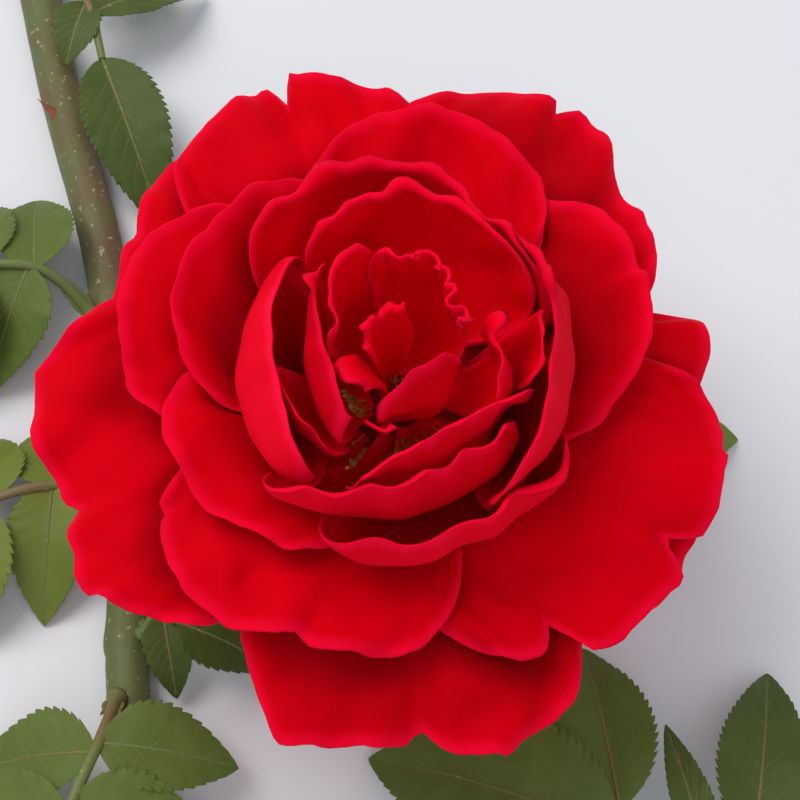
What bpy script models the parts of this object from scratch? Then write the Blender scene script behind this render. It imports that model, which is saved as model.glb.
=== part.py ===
"""A cut spray of a red garden rose: a large open bloom on a short upright shoot, and a lying cane
with its leaves.

Metres, +Z up. The cane lies on the ground plane z = 0 and the bloom's axis leans towards -Y.
Every petal is its own solid. All of them are read from one family of nested profiles, so that no
petal can cross another: a petal is a patch of that family, and rests on the petals outside it.
"""

import math

import bmesh
import bpy
import numpy as np
from mathutils import Matrix, Vector

MM = 0.001

# ---------------------------------------------------------------- driving dimensions

SPRAY_AT = Vector((0.0187, -0.0042, 0.0))  # the ground under the bloom, seen from the box's middle
BLOOM_HEIGHT = 52 * MM  # the middle of the receptacle, under the petals
BLOOM_LEAN = math.radians(10)  # how far the bloom's axis leans from upright, towards -Y

DOME_RADIUS = 7.4 * MM  # the seat of the petals: half an ellipsoid
DOME_HEIGHT = 7.0 * MM
CLAW_LIFT = 0.35 * MM  # a claw starts this far off the seat
PETAL_THICK = 0.5 * MM
CLAW_THICK = 0.35 * MM
PETAL_GAP = 0.5 * MM  # between the faces of two petals that lie on each other
CLAW_SHARE = 0.55  # a claw's angle, as a share of the petal's widest angle
FULL_ANGLE_AT = 0.42  # the share of the profile at which a petal has its widest angle,
FULL_GAP_AT = 0.3  # and at which its gaps are full
FULL_THICK_AT = 0.35  # the share of a petal's own length at which its thickness is full
CLAW_SAVING = 0.35 * MM  # claws are thinner, and lie this much closer to each other
EDGE_MARGIN = 1.5 * MM  # a petal clears the one under it by its gap to this far past its edge,
EDGE_SLOPE = 0.35  # and from there may fall off at this slope
BLEND = 0.3 * MM  # how softly a petal lifts off the one under it
PROFILE_LENGTH = 52 * MM

HIP_PROFILE = ((7.1, -1.2), (6.4, -3.2), (5.0, -6.0), (3.6, -9.0), (2.7, -12.0))  # (radius, height)
HIP_STEPS = 16
SEPAL_COUNT = 5
SEPAL_LENGTH = 17 * MM
SEPAL_HALF_WIDTH = 3.1 * MM
SEPAL_THICK = 0.5 * MM
SEPAL_SLOPE, SEPAL_DROOP = 2 * MM, 8 * MM  # how far its tip falls: straight down, and in a bow
STYLE_HEIGHTS, STYLE_RADII = (0, 3, 5), (0.8, 0.8, 0.5)  # in mm: the short column amid the stamens
FILAMENT_RADIUS, FILAMENT_ROOT, FILAMENT_SAG = 0.22 * MM, 2.5 * MM, 0.4 * MM
ANTHER_RADIUS = 0.55 * MM
SEAT_GAP = 0.3 * MM  # between two pieces that meet

CANE_PATH = ((-73, 136), (-64, 98), (-52, 56), (-45, 12), (-42, -30), (-30, -64), (-2, -84), (34, -91))
# from its lower cut to the upper one, in mm from the ground under the bloom
CANE_RADII = (4.0 * MM, 3.1 * MM)
CANE_SIDES = 10
SHOOT_RADII = (2.6 * MM, 2.2 * MM)
SHOOT_FOOT = 0.46  # where along the cane the flowering shoot grows
SHOOT_PATH = ((-30, -4, 8), (-15, -1, 18), (-4, 3, 28))  # in mm, up to below the hip
PRICKLE_RADIUS, PRICKLE_LENGTH = 1.3 * MM, 5.0 * MM
PRICKLE_TIP = 0.12  # its tip's radius, as a share of its foot's
PRICKLE_TILT = 0.35  # how far it leans back towards the stem's foot
PRICKLE_OUT = 0.3  # where its middle is beyond the bark, as a share of its length

PETIOLE_RADIUS, RACHIS_RADIUS = 1.1 * MM, 0.7 * MM
LEAF_THICK = 0.45 * MM
LEAF_ARCH = 0.10  # how far a leaflet bows up, as a share of its length
LEAF_FOLD = 0.22  # how far its sides lift from the midrib, as a share of their width
LEAF_FOOT = 0.05  # how wide it is at its foot, as a share of its width
LEAF_TIP = 0.2 * MM  # the height of a leaflet's tip that rests on the ground, at its middle
FIRST_LEAFLET = 0.25  # a leaflet's place runs from this share of the petiole and rachis to their end

# The family of nested profiles, from the reflexed guard petals (layer 0) to the heart (layer 1).
# Each row holds three control points of a Bezier curve as (radius, height) in mm. The fourth one,
# the start, lies on the seat.
FIRST_SEAT_ANGLE, SEAT_SWEEP = math.radians(5), math.radians(72)
PROFILES = np.array((
    ((21.0, 1.8), (40.0, 3.5), (57.0, -5.0)),
    ((21.0, 4.4), (38.0, 6.5), (54.0, 4.0)),
    ((21.0, 6.6), (35.0, 10.0), (45.0, 18.0)),
    ((19.5, 8.6), (33.0, 13.0), (34.0, 28.0)),
    ((16.5, 10.4), (29.5, 17.0), (20.0, 33.0)),
    ((11.0, 12.0), (18.5, 20.0), (11.5, 34.0)),
    ((4.2, 13.0), (7.0, 21.0), (4.5, 34.0)),
)) * MM


def petal(name, azimuth, half, rim, height, **more):
    """One petal: the azimuth of its middle and half its widest angle, in degrees. rim is the rim's
    radius about the bloom's axis in mm, at seven even places from the petal's right side to its left
    side or at its middle alone, and height is the middle of the rim's, above the receptacle.

    lean, cup: how much further in the layers the left edge, or both edges, are than the middle.
    incurve: how much further in the rim is than the claw.
    square: how late the rim rounds off into the sides. side: the share of the reach at the very side.
    notches: (place across, depth, width). folds: (place across, height in layers, width).
    ruffle: (waves across, height in layers). The azimuth also sets where its waves start.
    """
    stations = rim if isinstance(rim, tuple) else (rim,) * 7
    facts = dict(name=name, azimuth=azimuth, half=half, rim=stations, height=height, lean=0.0,
                 cup=0.0, incurve=0.0, square=3.5, side=0.5, notches=(), folds=(), ruffle=(0, 0.0))
    facts.update(more)
    return facts


# From the outermost petal to the innermost.
PETALS = (
    petal("guard_petal_right", -8, 33, (46, 48, 46, 45, 44, 48, 46), 0, square=8, side=0.6),
    petal("guard_petal_bottom", 272, 41, (37, 45, 50, 49, 51, 50, 42), -1, square=8, side=0.6,
          notches=((0.07, 0.05, 0.05),), folds=((0.1, -0.02, 0.2),)),
    petal("guard_petal_upper_left", 143, 34, (50, 53, 53, 48.5, 45, 42, 37), 1, square=6),
    petal("guard_petal_left", 195, 43, (45, 51, 53, 50, 51.5, 45, 38), 0, square=8, side=0.55,
          notches=((0.09, 0.04, 0.05),), folds=((0.12, -0.02, 0.2),)),
    petal("guard_petal_upper_right", 57, 38, (41, 46, 48, 57, 55, 52, 49), 2, square=8, side=0.6,
          notches=((0.13, 0.04, 0.03),), folds=((0.2, 0.03, 0.12),)),
    petal("outer_petal_top", 110, 30, (46, 49.5, 52.7, 54.5, 53, 51, 45), 5, square=7, side=0.6,
          notches=((-0.03, 0.08, 0.035),)),
    petal("outer_petal_lower_right", -36, 49, (35, 40, 45.5, 47.5, 48, 47, 42), 4, square=7,
          side=0.55, notches=((0.16, 0.12, 0.05), (-0.43, 0.14, 0.05)), ruffle=(4, 0.012)),
    petal("outer_petal_lower_left", 244, 50, (33, 38, 41, 39.5, 38.5, 35, 29), 7, square=7,
          folds=((0.06, 0.05, 0.12),), ruffle=(3, 0.015)),
    petal("outer_petal_left", 158, 38, (33, 37.5, 41, 41.6, 38.5, 35, 31), 12, square=5),
    petal("outer_petal_right", 22, 45, (24, 29, 34.5, 38.8, 40, 36, 30), 12.5, square=5,
          folds=((0.05, 0.03, 0.1),)),
    petal("outer_petal_upper", 81, 41, (29, 35.5, 39.5, 41.4, 39.6, 35, 29), 15, square=5),
    petal("cup_petal_lower_left", 211, 46, (25, 31, 33, 31, 28.5, 25.5, 23), 12, square=5,
          ruffle=(3, 0.01)),
    petal("cup_petal_upper_left", 144, 48, (27, 30.5, 33.5, 33.5, 31, 27, 23), 18, square=5),
    petal("cup_petal_bottom", 292, 47, 25, 20, incurve=0.36, cup=-0.05, square=6, side=0.6, ruffle=(4, 0.012)),
    petal("cup_petal_right", -3, 54, 21, 26, incurve=0.2, cup=-0.06, square=5, side=0.8),
    petal("cup_petal_top", 82, 64, 26, 24, incurve=0.02, square=5, side=0.6, ruffle=(4, 0.008)),
    petal("cup_petal_front", 277, 54, 18, 24, lean=0.06, incurve=0.2, cup=-0.07, square=6, side=0.7,
          ruffle=(5, 0.008)),
    petal("cup_petal_left", 184, 52, 16.2, 26, incurve=0.25, cup=-0.07, square=7, side=0.75),
    petal("inner_petal_top", 78, 57, 22.3, 26, square=4, ruffle=(5, 0.008)),
    petal("inner_petal_front", 299, 48, 13.4, 26, incurve=0.18, cup=-0.11, square=7, side=0.7),
    petal("inner_petal_pocket", 3, 18, 19.5, 26.5),
    petal("inner_petal_left_out", 210, 27, 15.5, 24, incurve=0.06),
    petal("inner_petal_left", 184, 54, 8.8, 28, lean=0.03, incurve=0.12, cup=-0.08, square=9,
          side=0.92),
    petal("inner_petal_right", -8, 23, 13.8, 26.5, lean=0.03, incurve=0.1, square=6, side=0.8),
    petal("heart_petal_upper_left", 142, 42, 10.8, 29, lean=0.06, square=5, side=0.7),
    petal("heart_petal_top", 58, 50, 10.2, 31, lean=-0.04, square=6, ruffle=(7, 0.01)),
    petal("heart_petal_lower_left", 256, 11, 13, 22, lean=0.07, square=6, side=0.8),
    petal("heart_petal_lower_right", -52, 52, 5.0, 27, incurve=0.2, cup=-0.06, square=6, side=0.75),
    petal("heart_petal_folded", 216, 36, 4.2, 24, square=4, side=0.8),
    petal("heart_petal_curl", 128, 72, 3.5, 26, lean=0.03),
)

ACROSS, ALONG = 49, 33  # the fine grid on which each petal's layer is worked out
FACE_CELLS = 4  # the reach, in cells of it, over which a petal is lifted clear of the ones outside it
ROWS = 8  # the solid's mesh has this many rows of faces, and more columns the wider it is
COLUMNS_AT_LEAST, COLUMN_SHARE = 3, 50


def leaf(name, foot, path, leaflets, carrier="cane"):
    """One compound leaf: where along its carrier it grows (0 to 1), its rachis in mm, and its leaflets
    as (place along the rachis, heading in degrees, length, width, height of the tip in mm)."""
    return dict(name=name, foot=foot, path=path, leaflets=leaflets, carrier=carrier)


LEAVES = (
    leaf("leaf_upper", 0.045, ((-63, 119, 12), (-58, 110, 13), (-55, 99, 11)), (
        (0.2, 28, 20, 12, 2), (0.5, -106, 13, 9, 9), (0.62, 38, 25, 11, 2), (1.0, -69, 34, 15, 0))),
    leaf("leaf_left", 0.32, ((-61, 50, 13), (-71, 50, 15), (-83, 47, 12)), (
        (0.2, 98, 22, 14, 3), (0.25, -112, 20, 15, 1), (0.62, 102, 24, 15, 0), (0.66, -104, 23, 16, 0),
        (1.0, 188, 30, 18, 0))),
    leaf("leaf_lower_left", 0.44, ((-53, 9, 11), (-62, 7, 13), (-73, 3, 11)), (
        (0.26, 112, 17, 12, 1), (0.3, -94, 20, 13, 0), (0.72, 104, 19, 13, 0), (0.76, -100, 23, 14, 0),
        (1.0, 186, 28, 17, 0))),
    leaf("leaf_middle", 0.52, ((-38, -13, 9), (-35, -15, 10)), (
        (0.5, -80, 12, 8, 2), (1.0, -16, 16, 11, 1))),
    leaf("leaf_bottom", 0.56, ((-45, -35, 13), (-49, -48, 15), (-54, -63, 12)), (
        (0.18, -3, 21, 14, 5), (0.24, 176, 21, 14, 1), (0.5, -18, 22, 15, 4), (0.56, 184, 25, 16, 0),
        (1.0, -104, 31, 19, 0))),
    leaf("leaf_small", 0.72, ((-17, -68, 10), (-15, -59, 11)), (
        (0.4, 60, 13, 9, 1), (1.0, 122, 17, 11, 1))),
    leaf("leaf_low", 0.76, ((-26, -84, 12), (-32, -94, 12), (-36, -102, 10)), (
        (0.5, 175, 24, 15, 0), (0.55, -50, 24, 15, 0), (1.0, -110, 28, 17, 0))),
    leaf("leaf_front", 0.90, ((22, -76, 12), (31, -62, 14), (34, -46, 11)), (
        (0.25, 140, 26, 16, 0), (0.3, 35, 20, 13, 2), (0.84, 157, 41, 23, 1), (1.0, 97, 30, 15, 2))),
    leaf("leaf_front_right", 0.97, ((40, -80, 10), (46, -68, 12), (54, -52, 10)), (
        (0.5, -14, 26, 15, 0), (0.66, 101, 32, 7, 11), (0.84, 8, 24, 14, 0), (1.0, 79, 32, 14, 2))),
    leaf("leaf_right", 0.66, ((0, 9, 20), (14, 15, 17), (28, 17, 11)), (
        (0.45, 80, 26, 16, 0), (0.5, -66, 27, 17, 0), (0.8, 64, 26, 16, 0), (0.84, -40, 27, 16, 0),
        (1.0, 12, 32, 18, 0)), carrier="shoot"),
    leaf("leaf_back", 0.33, ((-42, 50, 12), (-26, 57, 14), (-6, 60, 11)), (
        (0.38, 70, 24, 15, 0), (0.43, -54, 26, 16, 0), (0.75, 70, 26, 16, 0), (0.8, -40, 26, 16, 0),
        (1.0, 4, 31, 18, 0))),
)
CANE_PRICKLES = ((0.1, 60), (0.17, 130), (0.36, 70), (0.43, 140), (0.61, 40), (0.68, 100), (0.8, 60),
                 (0.86, 120))  # (place along it, angle round it from the right in degrees)
SHOOT_PRICKLES = ((0.36, 100), (0.5, 60), (0.6, 150), (0.78, -20))
STAMENS = ((290, 2.0, 13.5), (0, 2.2, 13.0), (262, 1.6, 14.5), (30, 1.2, 15.5), (330, 1.7, 15.0))
# (azimuth in degrees, radius and height of the anther in mm)

# ---------------------------------------------------------------- the profile family


def smooth(x):
    """0 below 0, 1 above 1, and an even S between."""
    x = np.clip(x, 0.0, 1.0)
    return x * x * (3 - 2 * x)


def even_curve(values, place):
    """A smooth curve through values at even places from 0 to 1: Catmull-Rom, its ends held."""
    values = np.asarray(values, float)
    padded = np.concatenate([values[:1], values, values[-1:]])
    x = np.clip(place, 0, 1) * (len(values) - 1)
    i = np.minimum(x.astype(int), len(values) - 2)
    f = (x - i).reshape(x.shape + (1,) * (values.ndim - 1))
    p0, p1, p2, p3 = padded[i], padded[i + 1], padded[i + 2], padded[i + 3]
    return 0.5 * (2 * p1 + (p2 - p0) * f + (2 * p0 - 5 * p1 + 4 * p2 - p3) * f**2
                  + (3 * p1 - p0 - 3 * p2 + p3) * f**3)


def profile_controls(layer):
    """The four control points of the profile at each layer: a Catmull-Rom blend of the rows, carried
    on straight past the first and the last one."""
    last = len(PROFILES) - 1
    place = np.asarray(layer, float) * last
    row = np.clip(np.floor(place).astype(int), 0, last - 1)
    f = (place - row)[..., None, None]

    def at(i):
        before = np.minimum(i, 0)[..., None, None] * (PROFILES[1] - PROFILES[0])
        after = np.maximum(i - last, 0)[..., None, None] * (PROFILES[last] - PROFILES[last - 1])
        return PROFILES[np.clip(i, 0, last)] + before + after

    p0, p1, p2, p3 = at(row - 1), at(row), at(row + 1), at(row + 2)
    rest = 0.5 * (2 * p1 + (p2 - p0) * f + (2 * p0 - 5 * p1 + 4 * p2 - p3) * f**2
                  + (3 * p1 - p0 - 3 * p2 + p3) * f**3)
    angle = FIRST_SEAT_ANGLE + SEAT_SWEEP * layer
    seat = np.stack([(DOME_RADIUS + CLAW_LIFT) * np.cos(angle),
                     (DOME_HEIGHT + CLAW_LIFT) * np.sin(angle)], -1)
    return seat, rest[..., 0, :], rest[..., 1, :], rest[..., 2, :]


def profile_point(layer, t):
    """(radius, height) at the share t of the profile's length, for arrays of layers and shares."""
    b0, b1, b2, b3 = profile_controls(layer)
    t = np.asarray(t, float)[..., None]
    return (1 - t)**3 * b0 + 3 * (1 - t)**2 * t * b1 + 3 * (1 - t) * t**2 * b2 + t**3 * b3


def layer_spacing(layer, t):
    """How many metres, square to the profile, one whole layer is worth there."""
    d = 1e-3
    across = (profile_point(layer + d, t) - profile_point(layer - d, t)) / (2 * d)
    along = (profile_point(layer, t + d) - profile_point(layer, t - d)) / (2 * d)
    cross = along[..., 0] * across[..., 1] - along[..., 1] * across[..., 0]
    return cross / np.linalg.norm(along, axis=-1)


def layer_through(radius, height):
    """The layer and the share of its length at which the family passes through a point."""
    layers, shares = np.meshgrid(np.linspace(-0.1, 1.1, 241), np.linspace(0.3, 1.0, 141),
                                 indexing="ij")
    points = profile_point(layers, shares)
    best = np.argmin(np.hypot(points[..., 0] - radius, points[..., 1] - height))
    return layers.flat[best], shares.flat[best]


# ---------------------------------------------------------------- petals


def reach(facts, u):
    """The share of the profile at which the petal ends, across its width u from -1 to 1."""
    rounding = (1 - np.abs(u)**facts["square"]).clip(0)**0.5
    length = facts["side"] + (1 - facts["side"]) * rounding
    stations = np.array(facts["rim"]) / facts["rim"][3]
    length = length * even_curve(stations, (u + 1) / 2)
    for place, depth, width in facts["notches"]:
        length = length * (1 - depth * np.exp(-np.abs((u - place) / width)**1.5))
    return facts["share"] * length


def half_angle(facts, t):
    """Half the angle that the petal spans at the share t of the profile."""
    spread = CLAW_SHARE + (1 - CLAW_SHARE) * smooth(t / FULL_ANGLE_AT)
    return math.radians(facts["half"]) * spread


def azimuth_of(facts, u, t):
    """The azimuth at the place u across: a petal is a narrow claw at the seat, and widens from it."""
    return math.radians(facts["azimuth"]) + half_angle(facts, t) * u


def wanted_layer(facts, u, v):
    """The layer that the petal's own shape asks for."""
    grown = smooth(v)
    waves, wave_height = facts["ruffle"]
    layer = facts["layer"] + grown * (facts["lean"] * u + facts["cup"] * u * u)
    layer = layer + facts["incurve"] * (v * v - 1)
    layer = layer + wave_height * v**3 * np.sin(math.pi * waves * u + facts["azimuth"])
    for place, height, width in facts["folds"]:
        layer = layer + height * v * v * np.exp(-((u - place) / width)**2)
    return layer


def layer_on(facts, theta, t):
    """The petal's layer at an azimuth and a share of the profile, and how far outside the petal that
    is, in metres."""
    turn = (theta - math.radians(facts["azimuth"]) + math.pi) % (2 * math.pi) - math.pi
    widest = half_angle(facts, t)
    u = turn / widest
    beside = (np.abs(u) - 1).clip(0) * widest
    u = np.clip(u, -1, 1)
    end = reach(facts, u)
    v = np.clip(t / end, 0, 1)
    x, y = (u + 1) / 2 * (ACROSS - 1), v * (ALONG - 1)
    i, j = np.minimum(x.astype(int), ACROSS - 2), np.minimum(y.astype(int), ALONG - 2)
    fx, fy = x - i, y - j
    grid = facts["grid"]
    low = grid[i, j] * (1 - fx) + grid[i + 1, j] * fx
    high = grid[i, j + 1] * (1 - fx) + grid[i + 1, j + 1] * fx
    layer = low * (1 - fy) + high * fy
    radius = profile_point(layer, t)[..., 0]
    return layer, np.hypot(beside * radius, (t - end).clip(0) * PROFILE_LENGTH)


def shifted(grid, across, along):
    """The grid moved by whole cells, its edge values held."""
    i = np.clip(np.arange(grid.shape[0]) + across, 0, grid.shape[0] - 1)
    j = np.clip(np.arange(grid.shape[1]) + along, 0, grid.shape[1] - 1)
    return grid[np.ix_(i, j)]


def raised(floor):
    """The highest value within a face's width of each place, evened out over half of that."""
    for cells in range(1, FACE_CELLS + 1):
        floor = np.maximum(floor, np.maximum(shifted(floor, 1, 0), shifted(floor, -1, 0)))
        if cells < FACE_CELLS:
            floor = np.maximum(floor, np.maximum(shifted(floor, 0, 1), shifted(floor, 0, -1)))
    for _ in range(FACE_CELLS - 1):
        floor = (shifted(floor, 1, 0) + 2 * floor + shifted(floor, -1, 0)) / 4
        floor = (shifted(floor, 0, 1) + 2 * floor + shifted(floor, 0, -1)) / 4
    return floor


def settle(petals):
    """Works out each petal's layers, from the outermost to the innermost: the layer that its shape
    asks for, or where a petal outside it would be touched, the next one that is clear of it."""
    u, v = np.meshgrid(np.linspace(-1, 1, ACROSS), np.linspace(0, 1, ALONG), indexing="ij")
    for number, facts in enumerate(petals):
        facts["layer"], facts["share"] = layer_through(facts["rim"][3] * MM, facts["height"] * MM)
        t = v * reach(facts, u)
        theta = azimuth_of(facts, u, t)
        layer = wanted_layer(facts, u, v)
        grown = smooth(t / FULL_GAP_AT)
        pitch = PETAL_THICK + PETAL_GAP - (1 - grown) * CLAW_SAVING
        floor = np.full(u.shape, -1.0)
        for outer in petals[:number]:
            under, outside = layer_on(outer, theta, t)
            lift = pitch - EDGE_SLOPE * (outside - grown * EDGE_MARGIN).clip(0)
            floor = np.maximum(floor, under + lift / layer_spacing(under, t))
        floor = raised(floor)
        gap = layer - floor
        blend = BLEND / layer_spacing(layer, t)
        facts["grid"] = floor + 0.5 * (gap + np.sqrt(gap * gap + blend * blend))


def petal_point(facts, u, v):
    """A point of the petal's middle surface in the bloom's frame, for grid values of u and v."""
    t = v * reach(facts, u)
    theta = azimuth_of(facts, u, t)
    layer, _ = layer_on(facts, theta, t)
    rz = profile_point(layer, t)
    return np.stack([rz[..., 0] * np.cos(theta), rz[..., 0] * np.sin(theta), rz[..., 1]], -1)


def build_petal(facts, bloom, collection):
    """An open grid laid on the petal's surface, and given its thickness by Solidify."""
    columns = round(COLUMNS_AT_LEAST + facts["half"] * math.sqrt(facts["rim"][3]) / COLUMN_SHARE)
    mesh = bmesh.new()
    bmesh.ops.create_grid(mesh, x_segments=columns, y_segments=ROWS, size=1)
    flat = np.array([vertex.co for vertex in mesh.verts])
    points = petal_point(facts, flat[:, 0], (flat[:, 1] + 1) / 2)
    for vertex, point in zip(mesh.verts, points):
        vertex.co = point
    data = bpy.data.meshes.new(facts["name"])
    mesh.to_mesh(data)
    mesh.free()
    data.shade_smooth()
    made = bpy.data.objects.new(facts["name"], data)
    collection.objects.link(made)
    made.parent = bloom
    body = made.vertex_groups.new(name="body")
    for number, v in enumerate((flat[:, 1] + 1) / 2):
        body.add([number], float(smooth(v / FULL_THICK_AT)), "REPLACE")
    wall = made.modifiers.new("petal thickness", "SOLIDIFY")
    wall.thickness = PETAL_THICK
    wall.offset = 0.0
    wall.vertex_group = body.name
    wall.thickness_vertex_group = CLAW_THICK / PETAL_THICK
    made.data.materials.append(finish("petal red", (0.55, 0.004, 0.012), 0.55))
    return made


def finish(name, colour, roughness):
    """A named material, made once."""
    found = bpy.data.materials.get(name)
    if found:
        return found
    found = bpy.data.materials.new(name)
    found.use_nodes = True
    shader = found.node_tree.nodes["Principled BSDF"]
    shader.inputs["Base Color"].default_value = (*colour, 1.0)
    shader.inputs["Roughness"].default_value = roughness
    return found


# ---------------------------------------------------------------- green parts


def mesh_object(name, mesh, parent, collection, material):
    """A mesh as a named object of the collection."""
    made = bpy.data.objects.new(name, mesh)
    collection.objects.link(made)
    made.parent = parent
    made.data.materials.append(material)
    return made


def grid_object(name, points_at, columns, rows, thickness, parent, collection, material):
    """A thin blade: the open grid that points_at(across, along) lays out, thickened both ways."""
    grid = bmesh.new()
    bmesh.ops.create_grid(grid, x_segments=columns, y_segments=rows, size=1)
    flat = np.array([vertex.co for vertex in grid.verts])
    for vertex, point in zip(grid.verts, points_at(flat[:, 0], (flat[:, 1] + 1) / 2)):
        vertex.co = point
    mesh = bpy.data.meshes.new(name)
    grid.to_mesh(mesh)
    grid.free()
    mesh.shade_smooth()
    made = mesh_object(name, mesh, parent, collection, material)
    wall = made.modifiers.new("blade thickness", "SOLIDIFY")
    wall.thickness = thickness
    wall.offset = 0.0
    return made


def tube(name, points, radii, rings, parent, collection, material):
    """A tapering round stem along a path, as a closed mesh. rings: bevel resolution of the curve."""
    curve = bpy.data.curves.new(name, "CURVE")
    curve.dimensions = "3D"
    curve.bevel_depth = 1.0
    curve.bevel_resolution = rings
    curve.use_fill_caps = True
    spline = curve.splines.new("POLY")
    spline.points.add(len(points) - 1)
    for place, point, radius in zip(spline.points, points, radii):
        place.co = (*point, 1.0)
        place.radius = radius
    guide = bpy.data.objects.new(name + " curve", curve)
    collection.objects.link(guide)
    mesh = bpy.data.meshes.new_from_object(guide.evaluated_get(bpy.context.evaluated_depsgraph_get()))
    bpy.data.objects.remove(guide)
    welded = bmesh.new()
    welded.from_mesh(mesh)
    bmesh.ops.remove_doubles(welded, verts=welded.verts, dist=1e-6)
    bmesh.ops.recalc_face_normals(welded, faces=welded.faces)
    welded.to_mesh(mesh)
    welded.free()
    mesh.name = name
    mesh.materials.clear()
    mesh.shade_smooth()
    return mesh_object(name, mesh, parent, collection, material)


def fused(body, pieces):
    """Joins the pieces to the body by one Boolean union, and removes them."""
    added = bpy.data.collections.new(body.name + " pieces")
    bpy.context.scene.collection.children.link(added)
    for piece in pieces:
        for holder in list(piece.users_collection):
            holder.objects.unlink(piece)
        added.objects.link(piece)
    union = body.modifiers.new("union", "BOOLEAN")
    union.operation = "UNION"
    union.solver = "MANIFOLD"
    union.operand_type = "COLLECTION"
    union.collection = added
    bpy.context.view_layer.update()
    whole = bpy.data.meshes.new_from_object(body.evaluated_get(bpy.context.evaluated_depsgraph_get()))
    body.modifiers.clear()
    body.data = whole
    for piece in pieces:
        bpy.data.objects.remove(piece)
    bpy.data.collections.remove(added)
    return body


def prickles(stem_name, path, radius, places, parent, collection, material):
    """Cones that stand out of a stem, tilted back towards its foot."""
    made = []
    for number, (place, angle) in enumerate(places):
        here, ahead = even_curve(path, np.array([place, place + 0.01]))
        along = Vector(ahead - here).normalized()
        side = Vector((math.cos(math.radians(angle)), 0, math.sin(math.radians(angle))))
        side = (side - along * side.dot(along)).normalized()
        cone = bmesh.new()
        bmesh.ops.create_cone(cone, cap_ends=True, segments=6, radius1=PRICKLE_RADIUS,
                              radius2=PRICKLE_TIP * PRICKLE_RADIUS, depth=PRICKLE_LENGTH)
        turn = (side - PRICKLE_TILT * along).to_track_quat("Z", "Y").to_matrix().to_4x4()
        middle = Vector(here) + side * (radius + PRICKLE_OUT * PRICKLE_LENGTH)
        cone.transform(Matrix.Translation(middle) @ turn)
        mesh = bpy.data.meshes.new(f"{stem_name} prickle {number}")
        cone.to_mesh(mesh)
        cone.free()
        made.append(mesh_object(mesh.name, mesh, parent, collection, material))
    return made


def sprouted(carrier, place, towards, radius):
    """Where a stem of this radius starts, beside its carrier and clear of it by the seat gap."""
    path, radii = carrier
    foot, ahead = even_curve(path, np.array([place, place + 0.01]))
    along = (ahead - foot) / np.linalg.norm(ahead - foot)
    start = foot
    for _ in range(2):
        way = (towards - start) / np.linalg.norm(towards - start)
        lean = np.dot(way, along)
        out = way - along * lean
        out = out / np.linalg.norm(out)
        start = foot + out * (np.interp(place, (0, 1), (radii[0], radii[-1])) + SEAT_GAP
                              + radius * abs(lean))
    return start


def build_cane(frame, collection):
    """The cane on the ground, cut square at both ends. It returns the cane's path and radii."""
    bark = finish("cane green", (0.16, 0.2, 0.06), 0.5)
    plan = even_curve(np.array(CANE_PATH) * MM, np.linspace(0, 1, 22))
    radii = np.linspace(*CANE_RADII, len(plan))
    # One of its flat sides lies on the ground.
    path = np.column_stack([plan, radii * math.cos(math.pi / CANE_SIDES)])
    cane = tube("cane", path, radii, 3, frame, collection, bark)
    fused(cane, prickles("cane", path, CANE_RADII[1], CANE_PRICKLES, frame, collection, bark))
    return path, radii


def build_shoot(frame, collection, cane):
    """The upright flowering shoot, from the cane's side to the hip. It returns its path and radii."""
    green = finish("shoot green", (0.2, 0.26, 0.07), 0.5)
    way = np.array(SHOOT_PATH) * MM
    start = sprouted(cane, SHOOT_FOOT, way[0], SHOOT_RADII[0])
    hip_end = HIP_PROFILE[-1][1] * MM - SEAT_GAP
    axis = Matrix.Rotation(BLOOM_LEAN, 3, "X") @ Vector((0, 0, 1))
    end = np.array(Vector((0, 0, BLOOM_HEIGHT)) + axis * hip_end)
    before, last = (np.array(Vector(end) - axis * back * MM) for back in (5, 1))
    points = even_curve(np.vstack([start, way, before, last]), np.linspace(0, 1, 14))
    points = np.vstack([points, end])
    shoot = tube("flower_shoot", points, np.linspace(*SHOOT_RADII, len(points)), 2, frame,
                 collection, green)
    fused(shoot, prickles("flower_shoot", points, SHOOT_RADII[1], SHOOT_PRICKLES, frame, collection,
                          green))
    return points, SHOOT_RADII


def leaflet_points(base, heading, length, width, tip_height):
    """The surface of one leaflet, from its base on the rachis to its tip: an egg-shaped outline,
    bowed up along its length, with both sides lifted from the midrib."""
    ahead = np.array([math.cos(heading), math.sin(heading), 0.0])
    aside = np.array([-math.sin(heading), math.cos(heading), 0.0])

    def points_at(across, along):
        outline = np.sin(math.pi * along**0.8).clip(0)**0.8 + LEAF_FOOT * (1 - along)
        half = 0.5 * width * outline * across
        height = base[2] * (1 - along) + tip_height * along
        height = height + LEAF_ARCH * length * np.sin(math.pi * along) + LEAF_FOLD * np.abs(half)
        point = base + ahead * (length * along)[:, None] + aside * half[:, None]
        point[:, 2] = height
        return point

    return points_at


def build_leaf(facts, frame, collection, carriers):
    """A petiole and rachis with its leaflets, fused into one piece."""
    green = finish("leaf green", (0.05, 0.13, 0.03), 0.45)
    way = np.array(facts["path"]) * MM
    start = sprouted(carriers[facts["carrier"]], facts["foot"], way[0], PETIOLE_RADIUS)
    rachis = even_curve(np.vstack([start, way]), np.linspace(0, 1, 9))
    thin = np.linspace(PETIOLE_RADIUS, RACHIS_RADIUS, len(rachis))
    body = tube(facts["name"], rachis, thin, 0, frame, collection, green)
    blades = []
    for number, (place, heading, length, width, tip) in enumerate(facts["leaflets"]):
        base = even_curve(rachis, np.array([FIRST_LEAFLET + (1 - FIRST_LEAFLET) * place]))[0]
        surface = leaflet_points(base, math.radians(heading), length * MM, width * MM,
                                 LEAF_TIP + tip * MM)
        blade = grid_object(f"{facts['name']} leaflet {number}", surface, 2, 5, LEAF_THICK, frame,
                            collection, green)
        blades.append(blade)
    return fused(body, blades)


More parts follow.
